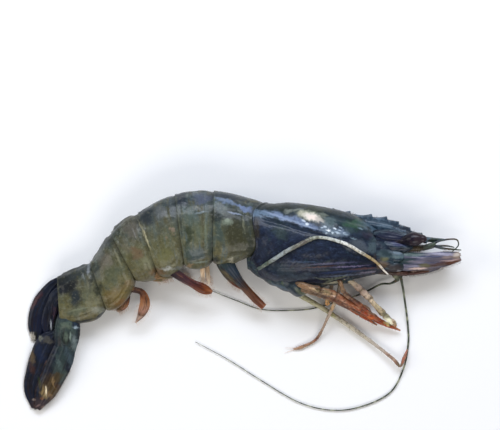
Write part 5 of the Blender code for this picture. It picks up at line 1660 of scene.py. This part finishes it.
# Wet swimmeret skin: thin chitin that bends, less glossy than the shell. Each pair has its own colours, from
# stem to edge, drawn out in dark and pale strands.
swim_leaves = {}
for kind, stops in SWIM_LOOKS.items():
    material, tree, shader, mm = wet_chitin("wet_" + kind, 0.44, 0.6, 0.06, coat=0.32)
    uv = own_uv(tree)
    colour = ramp(tree, wandering(tree, uv.outputs["X"], mm, 0.4, 4.0, 0.5, 0.14), stops)
    strands = drawn_out(tree, uv.outputs["X"], uv.outputs["Y"], 2.5, 16.0, 4.0, 0.65)
    colour = tinted(tree, colour, SWIM_DARK_STRANDS.get(kind, "#221210"), strands, 0.52, 0.6, 0.85)
    colour = tinted(tree, colour, SWIM_PALE_STRANDS.get(kind, "#AE7850"), strands, 0.44, 0.3, 0.6)
    if kind == "swimmeret_1":
        colour = spotted(tree, colour, ragged(tree, mm, 2.5, 0.6), FIRST_STEM_PATCHES)
    if kind == "swimmeret_5":
        colour = spotted(tree, colour, ragged(tree, mm, 3.0, 1.0), LAST_LOBE_PATCH)
    tree.links.new(colour, shader.inputs["Base Color"])
    swim_leaves[kind] = material
SWIM_RIBS = ((-0.5, -0.3, 0.12, 0.2), (0.1, 0.05, 0.1, 0.16), (0.55, 0.4, 0.12, 0.18))
for seed, (name, (path, sizes)) in enumerate(SWIMMERETS.items(), 21):
    look = swim_leaves[name.rsplit("_", 1)[0]]
    piece, edge = leaf(name + "_paddle", path, sizes, SWIM_FLAT, look, SWIM_RIBS, rings=64, points=48,
                       rough_edge=0.06, seed=seed)
    keep(piece, "swimmeret", name)
    for side in ("left", "right"):
        edge_fringe(
            f"{name}_{side}_fringe",
            "swimmeret",
            edge,
            side,
            0.62,
            1.0,
            26,
            2.0,
            0.09,
            seed,
            pale_hair,
            drop=0.1,
        )


# Tail fan
# The middle plate of the tail and two hinged blades on each side of it, the right pair on a stout knuckle.
# Each blade is stiffened by ribs and fringed with hair. They are navy, brown at the outer edge, and the
# right outer one has a yellow patch near its end.
TAIL_BLADES = {
    "telson": (
        ((-73.0, -23.0, 6.0), (-77.6, -25.6, 5.6), (-79.0, -31.0, 4.9), (-80.0, -38.6, 4.2)),
        (3.4, 3.5, 2.9, 2.1, 1.1, 0.2), 0.42,
    ),
    "uropod_left_outer": (
        (
            (-75.0, -17.6, 2.4), (-79.2, -21.2, 1.6), (-83.0, -27.2, 0.9), (-85.2, -34.4, 0.7),
            (-86.2, -42.6, 0.7),
        ),
        (1.4, 2.5, 3.3, 4.0, 4.2, 3.6, 1.5), 0.14,
    ),
    "uropod_left_inner": (
        (
            (-74.6, -22.0, 3.4), (-77.6, -25.0, 3.0), (-79.6, -30.0, 2.4), (-80.8, -35.6, 2.2),
            (-81.6, -40.4, 2.0),
        ),
        (1.4, 2.0, 2.8, 3.2, 2.9, 0.8), 0.16,
    ),
    "uropod_right_base": (
        ((-73.4, -30.0, 6.2), (-73.0, -34.6, 6.4), (-73.3, -40.2, 5.8), (-74.2, -46.6, 4.4)),
        (3.2, 4.8, 5.1, 4.1), (0.55, 0.5, 0.42, 0.14),
    ),
    "uropod_right_outer": (
        (
            (-73.8, -43.4, 5.2), (-75.3, -48.6, 4.8), (-77.9, -54.8, 4.2), (-81.4, -62.0, 3.3),
            (-85.2, -69.5, 2.1),
        ),
        (3.9, 4.8, 5.0, 4.6, 3.9, 1.2), 0.15,
    ),
    "uropod_right_inner": (
        (
            (-77.2, -39.0, 3.4), (-81.0, -44.0, 2.8), (-84.6, -52.4, 2.0), (-87.0, -61.0, 1.1),
            (-86.6, -69.8, 0.7),
        ),
        (1.4, 4.6, 5.0, 4.4, 3.6, 1.2), 0.14,
    ),
}
# Wet tail blade: stiff, thin, ribbed chitin, dark navy to brown, and the least glossy part of the shell.
# Small glints and the shade in the knuckle's groove are painted.
tail_leaf, tree, shader, mm = wet_chitin("wet_tail_leaf", 0.42, 0.8, 0.06, coat=0.22)
uv = own_uv(tree)
grain = add(tree, "ShaderNodeTexNoise", {"Vector": mm, "Scale": 0.5, "Detail": 5.0, "Roughness": 0.65})
colour = ramp(
    tree, grain.outputs["Fac"], ((0.3, "#070A10"), (0.46, "#0D1320"), (0.58, "#121A2C"), (0.72, "#1A1E28"))
)
strands = drawn_out(tree, uv.outputs["X"], uv.outputs["Y"], 2.0, 22.0, 5.0, 0.65)
colour = tinted(tree, colour, "#1E2A44", strands, 0.54, 0.7, 0.7)
colour = tinted(tree, colour, "#2E1E20", strands, 0.44, 0.32, 0.6)
# Pigment patches; the pale one on the left knob at (-87.4, -41.2) is a painted highlight, and (-69.4, -37.2)
# a painted glint.
TAIL_PATCHES_AND_HIGHLIGHTS = (
    (-86.0, -26.4, 1.5, 4.6, -25, "#452629", 0.75), (-80.0, -24.0, 3.0, 5.0, -20, "#141C2C", 0.7),
    (-84.0, -36.0, 4.0, 5.0, 0, "#0C142C", 0.8), (-78.4, -33.0, 1.2, 5.0, 0, "#38222C", 0.7),
    (-87.4, -41.2, 1.6, 2.0, 20, "#A8A294", 0.95), (-86.0, -40.8, 0.9, 1.6, 0, "#14140F", 0.95),
    (-84.0, -41.4, 0.9, 1.2, 0, "#6C6E64", 0.8), (-81.0, -42.4, 3.4, 1.2, -10, "#484640", 0.75),
    (-73.4, -38.0, 5.8, 6.8, 0, "#3C4A46", 0.95), (-69.6, -35.4, 1.4, 3.0, 0, "#24364A", 0.8),
    (-69.4, -37.2, 1.5, 1.3, 0, "#9AAAB2", 0.85), (-70.2, -44.2, 1.5, 4.0, 8, "#6C7A7A", 0.85),
    (-73.6, -36.4, 3.0, 1.6, 0, "#5A6658", 0.8), (-77.4, -36.0, 1.8, 3.6, 0, "#22322F", 0.8),
    (-74.0, -46.6, 4.5, 6.0, 10, "#2E3B3A", 0.95), (-76.0, -54.6, 3.6, 7.0, 15, "#36423E", 0.9),
    (-77.0, -51.0, 1.3, 3.8, 20, "#4C5C5A", 0.6), (-71.8, -50.0, 1.6, 8.0, 20, "#3A4850", 0.7),
    (-84.4, -47.0, 2.0, 5.0, 15, "#14203A", 0.7), (-87.6, -48.6, 1.4, 4.0, 12, "#5A4A34", 0.8),
    (-87.4, -54.0, 1.3, 3.0, 12, "#3C2621", 0.8), (-79.4, -60.6, 3.8, 6.4, 18, "#46361C", 0.9),
    (-77.4, -57.0, 2.6, 2.2, 0, "#44361F", 0.8), (-82.6, -62.8, 1.5, 3.8, 12, "#8E7850", 0.85),
    (-78.8, -58.6, 0.5, 3.0, 14, "#8E7450", 0.6), (-84.2, -60.0, 0.9, 2.4, 8, "#332E18", 0.85),
    (-80.2, -64.2, 1.1, 2.2, 14, "#7E6444", 0.75), (-76.2, -62.6, 1.3, 5.0, 22, "#3A2412", 0.85),
    (-85.0, -68.4, 4.6, 3.0, 10, "#392D2F", 0.9), (-79.6, -66.0, 2.0, 2.4, 10, "#3E2A1E", 0.8),
)
# Painted glints: (-81.8, -62.4), (-79.8, -36.0), (-71.9, -40.6) and (-88.4, -40.4). The dark oval with a
# lighter one inside at (-73.8, -40.7) leaves a ring of painted shade in the knuckle's groove.
TAIL_MARKS_AND_GLINTS = (
    (-81.8, -62.4, 0.45, 2.5, 2, "#F6E4BE", 0.95), (-79.8, -36.0, 0.45, 2.4, 2, "#BFC3C8", 0.9),
    (-83.0, -69.2, 1.2, 0.7, 0, "#8A7468", 0.7), (-86.8, -66.2, 1.0, 0.6, 0, "#9A8A80", 0.7),
    (-89.6, -50.4, 0.8, 1.2, 0, "#A08A70", 0.8), (-85.2, -68.6, 1.6, 0.4, 30, "#7A6460", 0.7),
    (-73.8, -40.7, 2.4, 3.9, 0, "#172120", 0.9), (-73.8, -40.8, 1.5, 2.8, 0, "#4E5C50", 0.95),
    (-71.9, -40.6, 0.5, 2.2, 0, "#7E8E84", 0.8), (-84.6, -58.4, 0.6, 2.0, 20, "#26361C", 0.8),
    (-83.4, -65.6, 1.1, 0.8, 0, "#7A5230", 0.7), (-88.4, -40.4, 0.5, 1.3, 25, "#E6E0D2", 0.9),
)
colour = spotted(tree, colour, ragged(tree, mm, 3.0, 1.7, 5.0), TAIL_PATCHES_AND_HIGHLIGHTS)
colour = spotted(tree, colour, ragged(tree, mm, 1.6, 0.3), TAIL_MARKS_AND_GLINTS)
colour = tinted(tree, colour, "#171318", strands, 0.47, 0.38, 0.6)
speck = add(tree, "ShaderNodeTexNoise", {"Vector": mm, "Scale": 1.3, "Detail": 4.0, "Roughness": 0.7})
colour = tinted(tree, colour, "#0B0E16", speck.outputs["Fac"], 0.54, 0.7, 0.6)
tree.links.new(colour, shader.inputs["Base Color"])
BLADE_RIBS = {
    "telson": ((0.0, 0.0, 0.16, -0.35), (-0.5, -0.5, 0.1, 0.2), (0.5, 0.5, 0.1, 0.2)),
    "uropod_left_outer": ((-0.6, -0.7, 0.1, 0.2), (0.0, 0.0, 0.08, 0.18), (0.5, 0.6, 0.08, 0.12)),
    "uropod_left_inner": ((0.0, 0.0, 0.1, 0.2), (0.4, 0.5, 0.08, 0.12)),
    "uropod_right_base": ((0.72, 0.72, 0.12, 0.25), (-0.75, -0.75, 0.12, 0.25)),
    "uropod_right_outer": (
        (-0.55, -0.6, 0.08, 0.22), (-0.1, 0.0, 0.07, 0.26), (0.3, 0.4, 0.06, 0.16), (0.7, 0.7, 0.06, 0.14),
    ),
    "uropod_right_inner": ((0.0, 0.0, 0.08, 0.24), (0.45, 0.5, 0.07, 0.14), (-0.45, -0.5, 0.07, 0.14)),
}
KNUCKLE_GROOVE = (-73.8, -40.7, 1.9, 3.3, 0.45)
for seed, (name, (path, sizes, flat)) in enumerate(TAIL_BLADES.items(), 41):
    frayed = 0.8 if name in ("uropod_right_outer", "uropod_right_inner") else 0.0
    bend = 0.05 if np.max(flat) < 0.2 else 0.0
    knob = KNUCKLE_GROOVE if name == "uropod_right_base" else None
    piece, edge = leaf(name + "_blade", path, sizes, flat, tail_leaf, BLADE_RIBS[name], rings=120, points=80,
                       cup=bend, tear=frayed, rough_edge=0.02, seed=seed, groove=knob)
    keep(piece, "tail_blade", name)
    if name in ("telson", "uropod_left_inner", "uropod_right_base"):
        continue
    for side in ("left", "right"):
        edge_fringe(
            f"{name}_{side}_fringe", "tail_blade", edge, side, 0.4, 1.0, 90, 0.8, 0.08, seed, brown_hair
        )
